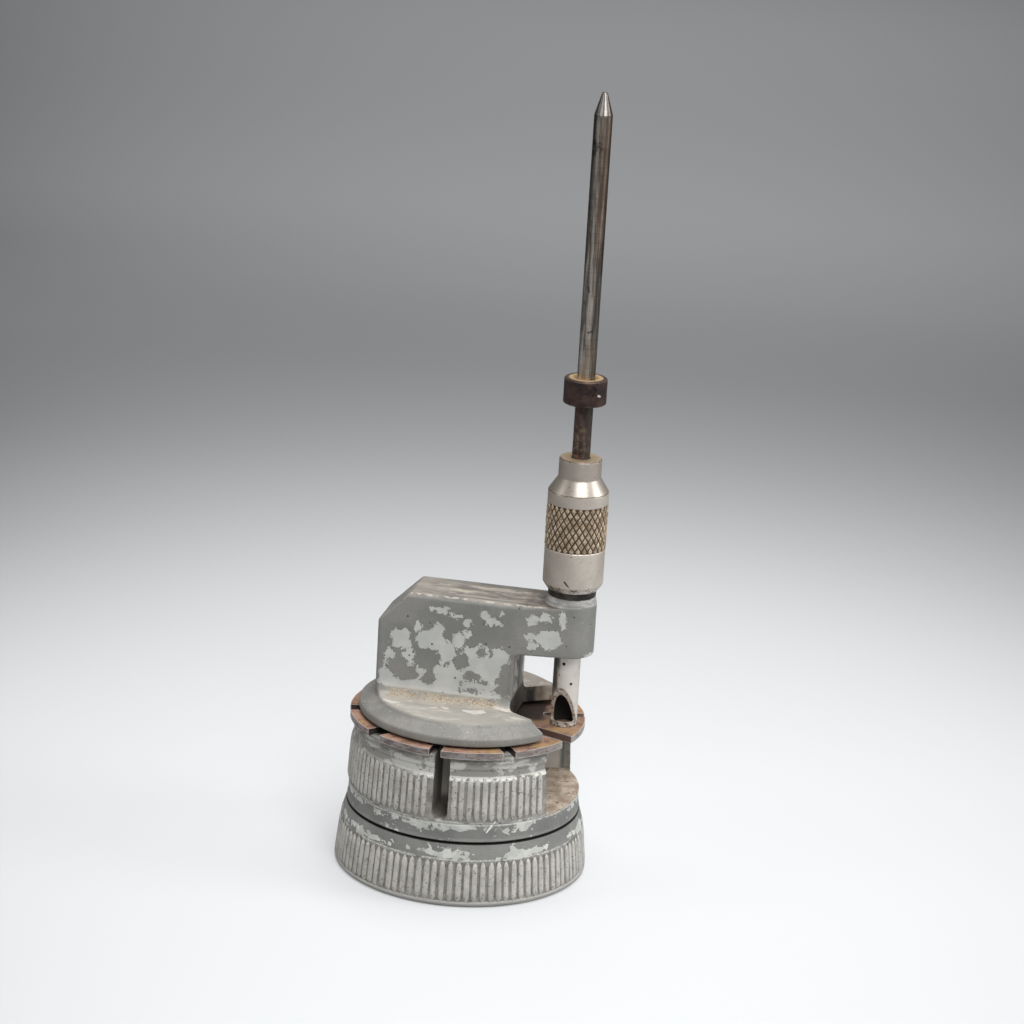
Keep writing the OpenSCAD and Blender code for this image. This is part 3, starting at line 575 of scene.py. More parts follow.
    # Painted light: the walls of the cuts painted pale
    wall = f.over(f.blend(f.noise(3, at=37), (170, 167, 160), (200, 197, 189)),
        ((76, 69, 62), groove_shade, 0.85))
    brown = f.over(f.mottled((142, 127, 111), (180, 167, 151), 0.38, 0.62, 2.2, 5, 0.62, at=39),
        ((110, 92, 78), f.cloud(0.58, 0.66, 0.7, 3, at=41)))
    colour = f.over(colour, (wall, inside, f.other(floor)), (brown, floor))

    rough = f.level(f.times(chip, f.other(on_ribs)), f.level(f.noise(1, 3, at=44), 0.52, 0.7), 0.42)
    relief = f.add(f.times(f.other(chip), f.other(on_ribs), 0.9), f.times(pits, -1.5),
        f.times(f.noise(0.3, 3, at=46), 0.55), f.times(f.noise(1.2, 3, at=48), 0.6))
    f.bump(relief, 0.05)
    return f.done(colour, rough, 0, specular=0.4)


def browned_disc_steel():
    """Disc of bare steel: coppery brown and ochre on its faces, grey steel on its rim."""
    f = Recipe("browned_disc_steel")
    out = f.radius()
    up = f.ease(f.math("ABSOLUTE", f.split(f.normal)[2]), 0.5, 0.9)
    ochre = f.ease(f.add(f.noise(3.6, 4, 0.6, at=7), f.times(f.ease(f.x, 12, 16), 0.06)), 0.54, 0.66)
    reach = f.add(f.x, f.times(f.swing(2, at=19), 3))
    shade = f.times(f.ease(reach, 15.2, 12.6), f.ease(f.y, -1.4, 0.8), f.ease(f.y, 11, 9),
        f.ease(f.x, 0, 4))
    copper = f.over(f.mottled((130, 100, 84), (160, 127, 108), 0.36, 0.64, 3, 5, 0.62, 0.4, at=1),
        ((104, 75, 63), f.cloud(0.5, 0.64, 1.3, 5, 0.65, at=4), 0.8),
        ((168, 138, 92), ochre, 0.7),
        ((26, 18, 15), shade, 0.97))
    # Painted light: the rim lighter towards the right
    pale = f.add(f.times(f.ease(f.x, 4, 14), 0.25), f.times(f.ease(f.x, 17, 20), 0.3))
    steel = f.over(
        f.mottled((112, 103, 102), (150, 144, 141), 0.4, 0.62, 1.6, at=9, stretch=(1.5, 1.5, 0.5)),
        ((190, 183, 176), pale),
        ((128, 88, 72), f.cloud(0.6, 0.68, 0.7, 3, at=11)))
    rim = f.ease(out, 20.9, 21.05)
    wall = f.times(f.other(up), f.other(rim))
    edge = f.times(f.worn_edge(0.22, 0.14), f.cloud(0.3, 0.46, 1.8, 3, at=13))
    colour = f.over(f.blend(up, steel, copper),
        (f.blend(f.ease(f.x, 13.5, 15), (58, 44, 40), (116, 88, 76)), wall, 0.85),
        ((228, 222, 215), edge, 0.9))
    metal = f.level(up, 0.7, 0.2)
    rough = f.level(f.noise(1.4, at=15), 0.34, 0.62)
    f.bump(f.add(f.noise(0.5, 4, 0.6, at=17), f.times(ochre, 0.4)), 0.03)
    return f.done(colour, rough, metal)


def satin_nickel(name, dark, light, low_edge, bore, rims=(), holes=(), gouge=(), shade_side=None):
    """Satin nickel plate with stains, pits and a dark worn edge at low_edge; painted shade inside the bore.
    holes are deep pits as (x, y, z, radius), gouge is a scratch from one place to another, dark lines
    run round at the heights in rims, and a painted dark reflection lies on shade_side, in degrees from
    the arm. With rims, the sides get painted shade and the bottom lip a painted highlight."""
    f = Recipe(name)
    rubbed = f.cloud(0.62, 0.68, 0.7, 4, 0.6, at=5, stretch=(1.6, 1.6, 0.7))
    base = f.over(f.mottled(light, dark, 0.38, 0.62, 6, at=1),
        (tuple(0.72 * part for part in dark), f.cloud(0.54, 0.7, 1.2, 5, 0.65, at=4), 0.45),
        (tuple(1.18 * part for part in light), rubbed, 0.5))
    pits = f.both(f.spots(2.4, 0.1, 0.5, at=6), f.spots(1.1, 0.12, 0.56, at=9))
    edge = f.times(f.worn_edge(0.25, 0.15), f.cloud(0.36, 0.48, 0.9, at=11))
    chip = f.times(f.ease(f.z, low_edge + 1.5, low_edge + 0.3), 0.14)
    chip = f.times(f.ease(f.add(f.noise(0.8, 5, 0.66, at=12), chip), 0.6, 0.66),
        f.ease(f.z, low_edge + 1.6, low_edge + 1.2))
    colour = f.over(f.blend(f.times(pits, 0.9), base, (64, 54, 44)),
        ((74, 58, 40), edge, 0.85),
        ((58, 48, 38), chip, 0.8))
    cone = f.times(f.band(f.z, CONE_LOW + 0.05, CONE_TOP + 0.05, 0.05), 1 if rims else 0)
    if rims:
        small_neck = f.ease(f.z, CONE_TOP, CONE_TOP + 0.2)
        across = f.share(f.across(PICTURE_RIGHT), f.from_punch())
        # Painted shade on the left side, and on the right of the small neck
        side_shade = f.both(f.times(f.ease(across, 0.15, -0.9), 0.45),
            f.times(f.ease(across, 0.35, 0.95), f.level(small_neck, 0.1, 0.42)))
        # Painted highlight along the bottom lip on its lit right side, broken by noise
        lip = f.times(f.band(f.z, low_edge + 0.05, low_edge + 0.7, 0.12), f.cloud(0.42, 0.54, 0.9, at=26),
            f.ease(across, -0.6, 0.1))
        colour = f.over(colour,
            ((120, 112, 104), small_neck, 0.34),
            ((140, 132, 124), cone, 0.3),
            ((112, 104, 96), side_shade),
            ((224, 218, 210), lip, 0.75),
            ((50, 38, 29), f.band(f.z, KNURL_LOW, KNURL_TOP, 0.05), 0.95))
    for x, y, z, size in holes:
        away = f.vector("LENGTH", f.vector("SUBTRACT", f.place, (x, y, z)))
        colour = f.over(colour, ((44, 34, 28), f.ease(away, size, size * 0.7)))
    if gouge:
        colour = f.over(colour, ((46, 38, 32), f.scratch(gouge[0], gouge[1], 0.24), 0.9))
    for height in rims:
        wander = f.add(f.z, f.times(f.swing(0.8, 3, at=22), 0.35))
        line = f.times(f.band(wander, height - 0.1, height + 0.1, 0.04), f.cloud(0.36, 0.46, 1.3, at=24))
        colour = f.over(colour, ((88, 72, 54), line, 0.8))
    if rims:
        top = f.times(f.ease(f.z, rims[-1] + 0.02, rims[-1] + 0.1), f.ease(f.from_punch(), 3.6, 3.4))
        colour = f.over(colour, ((160, 140, 110), top, 0.85))
    if shade_side is not None:
        turn = math.radians(shade_side)
        side = f.share(f.across((math.cos(turn), math.sin(turn))), f.from_punch())
        side = f.add(side, f.times(f.swing(1.4, at=20, stretch=(1, 1, 3)), 0.5))
        cut = f.times(f.ease(f.from_punch(), 2.34, 2.28), f.ease(f.z, 36.6, 36.2))
        rubbed_cut = f.mottled((214, 208, 200), (124, 104, 88), 0.46, 0.6, 0.7, 4, 0.6, at=30)
        # Painted dark reflection on the side towards the column, and the rubbed cut face of the window
        colour = f.over(colour,
            ((66, 56, 50), f.ease(side, 0.62, 0.84), f.ease(f.z, 33.5, 36), 0.8),
            (rubbed_cut, cut, 0.85))
    # Painted shade: the inside of the bore near black
    hollow = f.times(f.ease(f.from_punch(), bore + 0.06, bore + 0.02), f.ease(f.z, 77.9, 77.7))
    colour = f.over(colour, ((24, 20, 18), hollow))
    grain = f.noise(0.22, 3, 0.6, at=13, stretch=(3, 3, 0.6))
    rough = f.add(0.4, f.times(f.noise(2.5, at=15), 0.14), f.times(pits, 0.3))
    f.bump(f.add(f.times(grain, 0.5), f.times(pits, -2), f.times(f.noise(1.6, 3, at=17), 0.6)), 0.012)
    rough = f.less(rough, f.times(cone, 0.06))
    return f.done(colour, f.both(rough, f.times(hollow, 0.8)), f.level(hollow, f.level(cone, 0.5, 0.85), 0))


def knurled_nickel():
    """Nickel knurl with brown dirt between the diamonds."""
    f = Recipe("knurled_nickel")
    stands = f.ease(f.from_punch(), 5.235, 5.325)
    crest = f.mottled((146, 127, 104), (200, 182, 156), 0.4, 0.6, 0.8, 3, at=2)
    dirt = f.blend(f.noise(1.2, at=4), (36, 25, 16), (62, 45, 30))
    colour = f.blend(stands, dirt, crest)
    f.bump(f.noise(0.25, 3, at=6), 0.012)
    return f.done(colour, f.level(stands, 0.7, 0.46), f.level(stands, 0.1, 0.55))


def drill_rod():
    """Turned rod: rusty by the thimble, streaked gold and grey above, its two edges darkened as painted
    reflection, with painted highlights at the point.
    """
    f = Recipe("drill_rod")
    rings = f.noise(0.16, 2, 0.5, at=1, stretch=(40, 40, 1))
    streak = f.noise(1.2, 5, 0.62, 0.2, at=3, stretch=(0.5, 0.5, 9))
    stain = f.times(f.cloud(0.58, 0.66, 2.6, 4, 0.6, at=8, stretch=(1, 1, 1.6)), 0.7)
    base = f.over(f.blend(f.ease(streak, 0.38, 0.6), (120, 112, 105), (208, 200, 190)),
        ((160, 134, 96), f.cloud(0.54, 0.66, 2.2, at=6, stretch=(0.6, 0.6, 5)), 0.6),
        ((56, 48, 42), f.ease(rings, 0.5, 0.7), 0.28),
        ((66, 52, 44), stain))
    low = f.ease(f.z, 92.5, 91)
    pale = f.times(f.ease(f.z, 84.5, 82.5), f.cloud(0.5, 0.58, 0.8, 4, 0.65, at=10))
    rust = f.over(
        f.mottled((48, 36, 34), (78, 62, 54), 0.38, 0.62, 1, 5, 0.65, at=9, stretch=(0.8, 0.8, 1.8)),
        ((112, 96, 80), pale, 0.7),
        ((112, 66, 42), f.cloud(0.6, 0.68, 0.6, at=12), 0.6))
    # Painted reflection: the rod's two edges darkened, the lighter middle between them shifting with
    # height; brown on the right of the upper part
    across = f.across(PICTURE_RIGHT)
    upper = f.ease(f.z, 108, 118)
    right = f.share(across, ROD_RADIUS)
    side = f.math("ABSOLUTE", f.add(right, f.level(upper, 0.3, -0.12)))
    side = f.add(side, f.times(f.swing(1.6, at=22, stretch=(1, 1, 3)), 0.35))
    colour = f.over(f.blend(low, base, rust),
        ((118, 94, 76), upper, f.ease(right, -0.2, 0.1), 0.6),
        ((40, 34, 31), f.ease(side, 0.42, 0.86), f.level(upper, 0.62, 0.75)))
    for mark in (((18.2, -1.4, 100.9), (17.6, -1.58, 100.6)), ((17.1, -1.5, 108.6), (17.3, -1.57, 107.8))):
        colour = f.over(colour, ((52, 42, 36), f.scratch(mark[0], mark[1], 0.22), 0.7))
    # Painted highlights: two bright bands on the point, by the way they face, over dark grey
    point = f.ease(f.z, 137.8, 138.4)
    facing = f.share(across, f.both(f.from_punch(), 0.3))
    bright = f.both(f.band(facing, -0.42, -0.16, 0.1), f.band(facing, 0.1, 0.42, 0.12))
    colour = f.over(colour, (f.blend(bright, (72, 67, 64), (200, 196, 190)), point, 0.92))
    rough = f.level(low, f.add(0.26, f.times(f.noise(1.6, at=15), 0.2)), 0.58)
    f.bump(f.add(f.times(rings, 0.6), f.times(f.noise(0.5, at=18), low)), 0.012)
    return f.done(colour, rough, f.level(low, 0.9, 0.35))


def browned_collar():
    """Stop collar, dark brown with a rubbed gold edge and countersink and small pits."""
    f = Recipe("browned_collar")
    base = f.mottled((46, 34, 34), (70, 52, 47), 0.36, 0.64, 1.8, 5, 0.62, 0.3, at=1)
    pits = f.both(f.spots(0.5, 0.22, 0.56, at=3), f.spots(0.9, 0.12, 0.5, at=6))
    inner = f.times(f.ease(f.z, 91.6, 92), f.ease(f.from_punch(), 3.2, 2.8))
    edge = f.times(f.worn_edge(0.25, 0.14), f.cloud(0.38, 0.54, 0.8, at=5),
        f.ease(f.math("ABSOLUTE", f.less(f.z, 90.03)), 1.9, 2.1))
    by_pin = f.vector("LENGTH",
        f.vector("MULTIPLY", f.vector("SUBTRACT", f.place, (19.2, -3.45, 90.6)), (0.55, 0.55, 0.9)))
    dents = f.times(f.ease(by_pin, 1, 0.7), f.cloud(0.5, 0.56, 0.55, 3, 0.6, at=11))
    colour = f.over(f.blend(f.times(pits, 0.9), base, (18, 13, 12)),
        ((20, 15, 14), dents, 0.9),
        ((206, 200, 192), f.scratch((20.3, -2.6, 89.9), (20.7, -2.3, 89.7), 0.26)),
        ((184, 158, 116), f.both(f.times(inner, 0.9), f.times(edge, 0.55))))
    rough = f.level(f.noise(1, at=7), 0.34, 0.58)
    f.bump(f.add(f.noise(0.35, at=9), f.times(pits, -1.5)), 0.015)
    return f.done(colour, rough, 0.5)


def plain_metal(name, dark, light, rough, metal, size=2):
    """Metal of the inner pieces and screws: two tones, fine marks and dulled spots."""
    f = Recipe(name)
    edge = f.times(f.worn_edge(0.2, 0.14), f.cloud(0.4, 0.56, 0.8, at=3))
    colour = f.over(f.mottled(dark, light, 0.36, 0.64, size, 5, 0.6, 0.2, at=1),
        ((190, 184, 172), edge, 0.5))
    f.bump(f.noise(0.3, at=5), 0.01)
    return f.done(colour, f.level(f.noise(size, at=7), rough - 0.08, rough + 0.12), metal)


# ---------- geometry node trees ----------

class Tree(Nodes):
    """Geometry node tree with named inputs; tree["Label"] is the socket of one."""

    def __init__(self, name, inputs):
        self.tree = bpy.data.node_groups.new(name, "GeometryNodeTree")
        face = self.tree.interface
        face.new_socket("Geometry", in_out="OUTPUT", socket_type="NodeSocketGeometry")
        self.ids = {}
        for label, value in inputs.items():
            kind = {int: "Int", float: "Float"}.get(type(value), "Material")
            socket = face.new_socket(label, in_out="INPUT", socket_type="NodeSocket" + kind)
            if value is not None:
                socket.default_value = value
            self.ids[label] = socket.identifier
        self.source = self.tree.nodes.new("NodeGroupInput")
        self.sink = self.tree.nodes.new("NodeGroupOutput")

    def __getitem__(self, label):
        return next(s for s in self.source.outputs if s.identifier == self.ids[label])

    def made(self, kind, inputs=(), **settings):
        return self.node("GeometryNode" + kind, inputs, **settings).outputs[0]

    def joined(self, x, y, z):
        return self.node("CombineXYZ", {0: x, 1: y, 2: z}).outputs[0]

    def chance(self, low, high):
        """Random number for each copy, from the tree's seed."""
        given = {2: low, 3: high, "Seed": self["Seed"]}
        return self.node("FunctionNodeRandomValue", given, data_type="FLOAT").outputs[1]

    def end(self, geometry):
        whole = self.made("RealizeInstances", {"Geometry": geometry})
        smooth = self.made("SetShadeSmooth", {"Geometry": whole})
        last = self.made("SetMaterial", {"Geometry": smooth, "Material": self["Material"]})
        self.tree.links.new(last, self.sink.inputs[0])


def grown(name, tree, values, material):
    """Plain mesh that the tree makes with these values of its inputs."""
    holder = placed(name + "_holder", bpy.data.meshes.new(name + "_holder"))
    step = holder.modifiers.new("made", "NODES")
    step.node_group = tree.tree
    for label, value in dict(values, Material=material).items():
        step[tree.ids[label]] = value
    return plain_mesh(holder, name, material, 40)


def rib_tree():
    """Ribs leaning on a cone: half-sunk rods with pointed upper ends."""
    t = Tree("casting_ribs", {
        "Count": RIBS, "Low Radius": 0.02, "Low Height": 0.0, "Top Radius": 0.02, "Top Height": 0.008,
        "Rib Radius": 0.0005, "Flatness": 0.6, "Point": 0.001, "Blunt": 0.0004, "Start Angle": 0.0,
        "Gap Side": 0.0, "Groove Side": 0.0, "Seed": 4, "Material": None})
    lean = t.share(t.less(t["Top Radius"], t["Low Radius"]), t["Flatness"])
    low = t.joined(0, 0, t["Low Height"])
    high = t.joined(lean, 0, t["Top Height"])
    line = t.made("CurvePrimitiveLine", {"Start": low, "End": high})
    line = t.made("ResampleCurve", {"Curve": line, "Count": 12})
    along = t.node("GeometryNodeSplineParameter").outputs["Length"]
    length = t.node("VectorMath", {0: low, 1: high}, operation="DISTANCE").outputs["Value"]
    to_top = t.share(t.less(length, along), t["Point"])
    to_low = t.share(along, t["Blunt"])
    least = t.math("MINIMUM", t.math("MINIMUM", to_top, to_low), 1)
    size = t.times(t.math("POWER", t.math("MAXIMUM", least, 0.02), 0.85), t["Rib Radius"])
    ring = t.made("CurvePrimitiveQuadrilateral", {"Width": 2, "Height": 2})
    ring = t.made("FilletCurve", {"Curve": ring, "Count": 2, "Radius": 0.62}, mode="POLY")
    rib = t.made("CurveToMesh", {"Curve": line, "Profile Curve": ring, "Scale": size, "Fill Caps": True})
    rib = t.made("Transform", {"Geometry": rib, "Scale": t.joined(t["Flatness"], 1, 1),
        "Translation": t.joined(t["Low Radius"], 0, 0)})
    points = t.made("Points", {"Count": t["Count"]})
    step = t.share(2 * math.pi, t["Count"])
    angle = t.add(t.times(t.made("InputIndex"), step), t["Start Angle"])
    turn = t.joined(0, 0, t.add(angle, t.chance(-0.0035, 0.0035)))
    off_punch = t.math("GREATER_THAN", t.math("COSINE", t["Gap Side"]), t.math("COSINE", angle))
    groove = t.times(t.math("COSINE", t["Groove Side"]), -1)
    off_groove = t.math("LESS_THAN", t.math("SINE", angle), groove)
    keep = t.times(off_punch, t.less(1, off_groove))
    swell = t.joined(t.chance(0.9985, 1.001), t.chance(0.92, 1.08), 1)
    t.end(t.made("InstanceOnPoints", {
        "Points": points, "Selection": keep, "Instance": rib, "Rotation": turn, "Scale": swell}))
    return t


def knurl_tree():
    """Diamonds of a knurl, blunt pyramids in rows round an upright axis."""
    t = Tree("thimble_knurl", {
        "Around": 29, "Rows": 9, "Radius": 0.0052, "Low Height": 0.0617, "Row Height": 0.00091,
        "Rise": 0.0002, "Blunt": 0.42, "Axis X": PUNCH_X * MM, "Seed": 7, "Material": None})
    pyramid = t.made("MeshCone", {"Vertices": 4, "Radius Top": t["Blunt"], "Radius Bottom": 1,
        "Depth": 1}, fill_type="NGON")
    half = t.share(math.pi, t["Around"])
    wide = t.times(half, t["Radius"], 0.86)
    lying = t.made("Transform", {"Geometry": pyramid, "Rotation": (0, math.pi / 2, 0)})
    size = t.joined(t["Rise"], wide, t.times(t["Row Height"], 0.92))
    diamond = t.made("Transform", {"Geometry": lying, "Scale": size})
    points = t.made("Points", {"Count": t.times(t["Around"], t["Rows"])})
    index = t.made("InputIndex")
    row = t.math("FLOOR", t.share(index, t["Around"]))
    step = t.less(index, t.times(row, t["Around"]))
    angle = t.times(t.add(t.times(step, 2), t.math("MODULO", row, 2)), half)
    height = t.add(t["Low Height"], t.times(t.add(row, 0.5), t["Row Height"]))
    place = t.joined(t.times(t.math("COSINE", angle), t["Radius"]),
        t.times(t.math("SINE", angle), t["Radius"]), height)
    copies = t.made("InstanceOnPoints", {
        "Points": t.made("SetPosition", {"Geometry": points, "Position": place}), "Instance": diamond,
        "Rotation": t.joined(0, 0, angle), "Scale": t.joined(t.chance(0.8, 1.1), 1, 1)})
    t.end(t.made("Transform", {"Geometry": copies, "Translation": t.joined(t["Axis X"], 0, 0)}))
    return t


# ---------- pieces ----------

def foot_pieces(ribs):
    """The foot: a turned casting and the ribs around it."""
    finish = worn_casting("worn_foot_casting", ribs=(0.95, 8.25), chips=(9.5, 1.9), bare=(8, 8.05),
        bead_at=(8.1, 8.75), core=((0.9, 22.55), (8.3, 21.75)))
    outline = [(5.2, 5.2), (7.2, 5.2), (7.2, 0.8), (19.3, 0.8), (19.3, 0), (22.3, 0),
               (22.78, 0.35), (22.86, 0.85), (22.56, 1), (21.78, 8.15), (22, 8.4), (21.9, 8.75),
               (21.15, 11.3), (14.2, 11.3), (14.2, 10.8), (5.2, 10.8)]
    foot = turned("foot_casting", softened(outline, 0.16), finish)
    made = grown("foot_ribs", ribs, {
        "Low Radius": 22.55 * MM, "Low Height": 0.85 * MM, "Top Radius": 21.78 * MM,
        "Top Height": 8.4 * MM, "Rib Radius": 0.51 * MM, "Flatness": 0.62, "Point": 1 * MM,
        "Blunt": 0.45 * MM, "Start Angle": math.radians(2.73), "Seed": 3}, finish)
    for piece in (foot, made):
        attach(piece, "foot")
    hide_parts("foot")


def groove_cutter(finish):
    """Upright bar with a round lower end, which cuts the groove in the drum's front."""
    half, sill, crown, back, front, steps = 1.42, 15.45, 30, -13.5, -26, 16
    turns = (math.pi + math.pi * k / steps for k in range(steps + 1))
    loop = [(half * math.cos(a), sill + half + half * math.sin(a)) for a in turns]
    loop += [(half, crown), (-half, crown)]
    work = bmesh.new()
    near, far = ([work.verts.new((x * MM, y * MM, z * MM)) for x, z in loop] for y in (back, front))
    work.faces.new(near)
    work.faces.new(far[::-1])
    for k in range(len(loop)):
        n = (k + 1) % len(loop)
        work.faces.new((near[k], far[k], far[n], near[n]))
    return finished("groove_cutter", from_bmesh("groove_cutter", work), finish)


def drum_pieces(ribs):
    """The drum: a turned casting with its pocket and groove, and the ribs around it."""
    finish = worn_casting("worn_drum_casting", ribs=(15.5, 23.45), chips=(14.35, 2.1), bare=(23.35, 27.2),
        bead_at=(14.6, 15.35), core=((15.6, 20.88), (23.5, 20.44)))
    outline = [(3.08, 13.05), (8.1, 13.05), (8.1, 11.55), (20.75, 11.55), (21.12, 11.85), (20.9, 12.3),
               (20.86, 13.8), (20.78, 14.7), (20.66, 14.85), (20.86, 15.05), (20.95, 15.4), (20.88, 15.6),
               (20.44, 23.35), (20.18, 23.75), (20.14, 24.7), (20.34, 25.05), (20.36, 27.2), (5.8, 27.2),
               (5.8, 28.85), (3.08, 28.85)]
    drum = turned("drum_blank", softened(outline, 0.15), finish)
    pocket = turned("pocket_cutter", [(0, 15.1), (11.5, 15.1), (11.5, 30), (0, 30)], finish, 128,
        (PUNCH_X, 0))
    drum = carved(drum, [pocket, groove_cutter(finish)], "drum_casting", finish)
    made = grown("drum_ribs", ribs, {
        "Low Radius": 20.88 * MM, "Low Height": 15.45 * MM, "Top Radius": 20.44 * MM,
        "Top Height": 23.55 * MM, "Rib Radius": 0.48 * MM, "Flatness": 0.62, "Point": 0.9 * MM,
        "Blunt": 0.35 * MM, "Start Angle": math.radians(2.16), "Gap Side": math.radians(35),
        "Groove Side": math.radians(5), "Seed": 5}, finish)
    for piece in (drum, made):
        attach(piece, "tower")
    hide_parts("drum")


def frame_piece():
    """The painted casting, its edges rounded as a casting's are."""
    work = bmesh.new()
    work.from_mesh(frame["nodes"]["frame"].data)
    blank = placed("frame_blank", from_bmesh("frame_blank", work))
    even = blank.modifiers.new("even", "REMESH")
    even.mode = "VOXEL"
    even.voxel_size = 0.24 * MM
    even.use_smooth_shade = True
    soft = blank.modifiers.new("soft", "SMOOTH")
    soft.factor = 0.5
    soft.iterations = 2
    casting = plain_mesh(blank, "frame_casting", flaked_frame_paint(), 60)
    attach(casting, "tower")
    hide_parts("frame")


def thimble_pieces(knurl):
    """The thimble: a turned shell, and the diamonds in its sunk band."""
    finish = satin_nickel("satin_nickel_thimble", tone(186, 177, 167), tone(198, 190, 180), 54.1, 1.66,
        rims=(72.05, 77.82), gouge=((16.9, -5.4, 56.5), (18.4, -5, 54.9)))
    outer = [(4.31, 54.1), (4.55, 54.1), (5.33, 55.25), (5.354, 55.6), (5.354, 61.55), (5.22, KNURL_LOW),
             (5.22, KNURL_TOP), (5.354, 70), (5.354, 71.9), (5.28, CONE_LOW), (3.78, CONE_TOP),
             (3.76, 74.6), (3.76, 77.7), (3.55, 77.95)]
    inner = [(1.65, 77.95), (1.65, 76.15), (2.35, 76.15), (2.35, 71.4), (4.31, 71.4), (4.31, 69.85),
             (4.66, 69.85), (4.66, 69.21), (4.31, 69.21)]
    shell = turned("thimble_shell", softened(outer + inner, 0.1), finish, 128, (PUNCH_X, 0))
    band = grown("thimble_knurl", knurl, {
        "Radius": 5.225 * MM, "Low Height": 61.68 * MM, "Row Height": 0.91 * MM, "Rise": 0.2 * MM,
        "Seed": 9}, knurled_nickel())
    for piece in (shell, band):
        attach(piece, "thimble")
    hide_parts("thimble")


def dress_nodes():
    """Finishes of the CAD nodes that are shown as they are."""
    bronze = plain_metal("turned_bronze", (136, 104, 60), (188, 152, 96), 0.38, 0.9)
    bright = plain_metal("turned_steel", (146, 142, 134), (188, 184, 176), 0.34, 0.95)
    black = plain_metal("blackened_steel", (30, 28, 26), (62, 57, 52), 0.46, 0.4)
    nickel = satin_nickel("satin_nickel_tube", tone(200, 195, 188), tone(214, 209, 202), 28.5, 1.79,
        holes=((17.3, -2.37, 40.4, 0.36), (18.75, -2.03, 36.7, 0.3),
        (16.6, -2.2, 38.2, 0.14)), shade_side=198)
    dressed = (
        (bronze, "foot_bush thrust_washer thimble_washer friction_sleeve"),
        (bright, "spring_washer plain_washer spindle spindle_nut nut_pin key_pins disc_washer"),
        (black, "spindle_lock_screw neck_sleeve tube_key_screw tube_snap_ring"),
        (browned_disc_steel(), "slotted_disc"), (nickel, "guide_tube"), (drill_rod(), "punch_rod"),
        (browned_collar(), "stop_collar collar_pin"))
    for finish, nodes in dressed:
        for node in nodes.split():
            slots = frame["nodes"][node].data.materials
            slots.clear()
            slots.append(finish)


# ---------- stage ----------

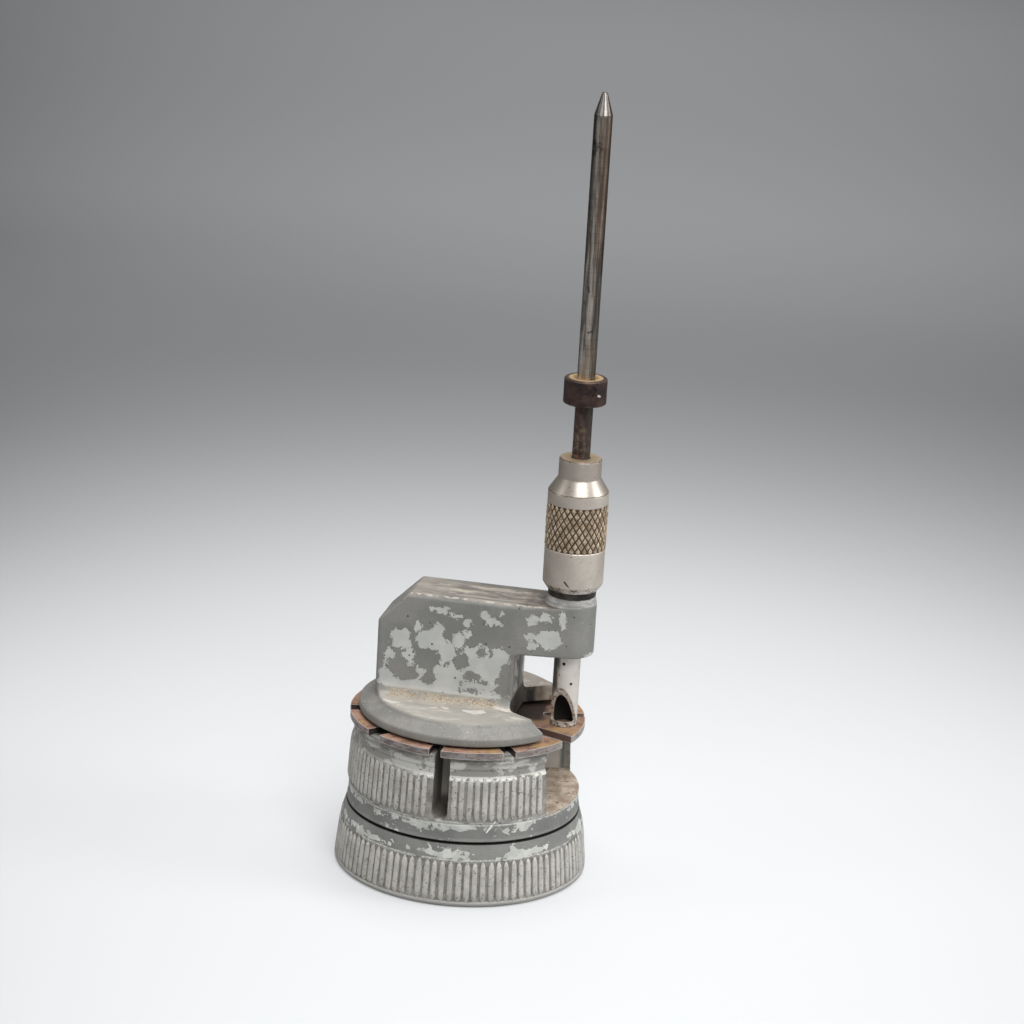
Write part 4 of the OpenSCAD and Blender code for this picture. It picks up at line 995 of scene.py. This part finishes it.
def lay_floor():
    """Pale sweep under the tool, painted greyer with distance as the light falls off. Its part that glows
    shows only to the camera.
    """
    f = Recipe("paper_sweep")
    ahead = f.add(f.times(f.x, -0.175), f.times(f.y, 0.985), 57)
    across = f.add(f.times(f.x, 0.985), f.times(f.y, 0.175), -10)
    narrow = f.times(across, 1 / 1.6)
    far = f.math("SQRT", f.add(f.times(ahead, ahead), f.times(narrow, narrow)))
    ramp = f.node("ValToRGB", {0: f.math("DIVIDE", far, FLOOR_REACH, clamp=True)})
    ramp.color_ramp.interpolation = "B_SPLINE"
    while len(ramp.color_ramp.elements) < len(FLOOR_GREYS):
        ramp.color_ramp.elements.new(0.5)
    for element, (place, grey) in zip(ramp.color_ramp.elements, FLOOR_GREYS):
        element.position = place
        element.color = tone(grey - 1, grey + 1, grey + 3)

    # Painted falloff of the light: darker to the sides, less so in a band far off on the left
    turn = f.less(f.share(across, f.both(f.add(ahead, 480), 100)), 0.015)
    dip = f.times(f.band(far, 400, 520, 70), f.ease(turn, 0.04, -0.06), 4)
    fade = f.less(f.level(f.ease(far, 120, 270), NEAR_SIDE_FADE, SIDE_FADE), dip)
    fade = f.less(1, f.math("MINIMUM", f.times(turn, turn, fade), 0.5))
    colour = f.dim(ramp.outputs[0], fade)

    seen = f.node("LightPath").outputs["Is Camera Ray"]
    f.done(f.dim(colour, f.level(seen, FLOOR_SHARE, FLOOR_SEEN_SHARE)), 0.9, specular=0)
    glow = f.node("Emission", {0: colour, 1: 1})
    mix = f.node("MixShader", {
        0: f.times(seen, FLOOR_GLOW), 1: f.shader.outputs[0], 2: glow.outputs[0]})
    f.put(f.end.inputs[0], mix.outputs[0])

    work = bmesh.new()
    bmesh.ops.create_circle(work, cap_ends=True, radius=6, segments=96)
    floor = finished("floor", from_bmesh("floor", work), f.material)
    if floor.data.polygons[0].normal.z < 0:
        floor.data.flip_normals()


def set_world():
    """Soft light from all round, and the grey that the camera sees behind the floor."""
    world = bpy.data.worlds.new("room")
    bpy.context.scene.world = world
    world.use_nodes = True
    room = Nodes()
    room.tree = world.node_tree
    back = room.tree.nodes["Background"]
    back.inputs[0].default_value = tone(232, 230, 228)
    back.inputs[1].default_value = WORLD_LEVEL
    mix = room.node("MixShader", {
        0: room.node("LightPath").outputs["Is Camera Ray"], 1: back.outputs[0],
        2: room.node("Background", {0: tone(140, 142, 144)}).outputs[0]})
    room.put(room.tree.nodes["World Output"].inputs[0], mix.outputs[0])


def hang_lamp(name, place, aim, width, height, power):
    data = bpy.data.lights.new(name, "AREA")
    data.shape = "RECTANGLE"
    data.size, data.size_y = width, height
    data.energy = power
    lamp = placed(name, data)
    lamp.location = place
    lamp.rotation_mode = "QUATERNION"
    lamp.rotation_quaternion = (Vector(aim) - Vector(place)).to_track_quat("-Z", "Y")


def set_camera():
    """Camera fitted to the circles of the tool in the photograph."""
    data = bpy.data.cameras.new("camera")
    camera = placed("camera", data)
    image_side, focal_pixels = 1024, 3174.66
    data.sensor_width = 36
    data.lens = focal_pixels / image_side * data.sensor_width
    data.clip_start, data.clip_end = 0.01, 50
    right = Vector((0.97835934, 0.19875415, 0.05753071))
    up = Vector((-0.11094569, 0.26921139, 0.95666937))
    back = Vector((0.17465408, -0.9423492, 0.2854364))
    turn = Matrix((right, up, back)).transposed()
    camera.matrix_world = Matrix.Translation((0.103607, -0.527352, 0.226322)) @ turn.to_4x4()
    bpy.context.scene.camera = camera


bpy.context.scene.view_settings.view_transform = "Standard"
set_camera()
set_world()
lay_floor()
for lamp in LAMPS:
    hang_lamp(*lamp)

ribs = rib_tree()
foot_pieces(ribs)
drum_pieces(ribs)
frame_piece()
thimble_pieces(knurl_tree())
dress_nodes()
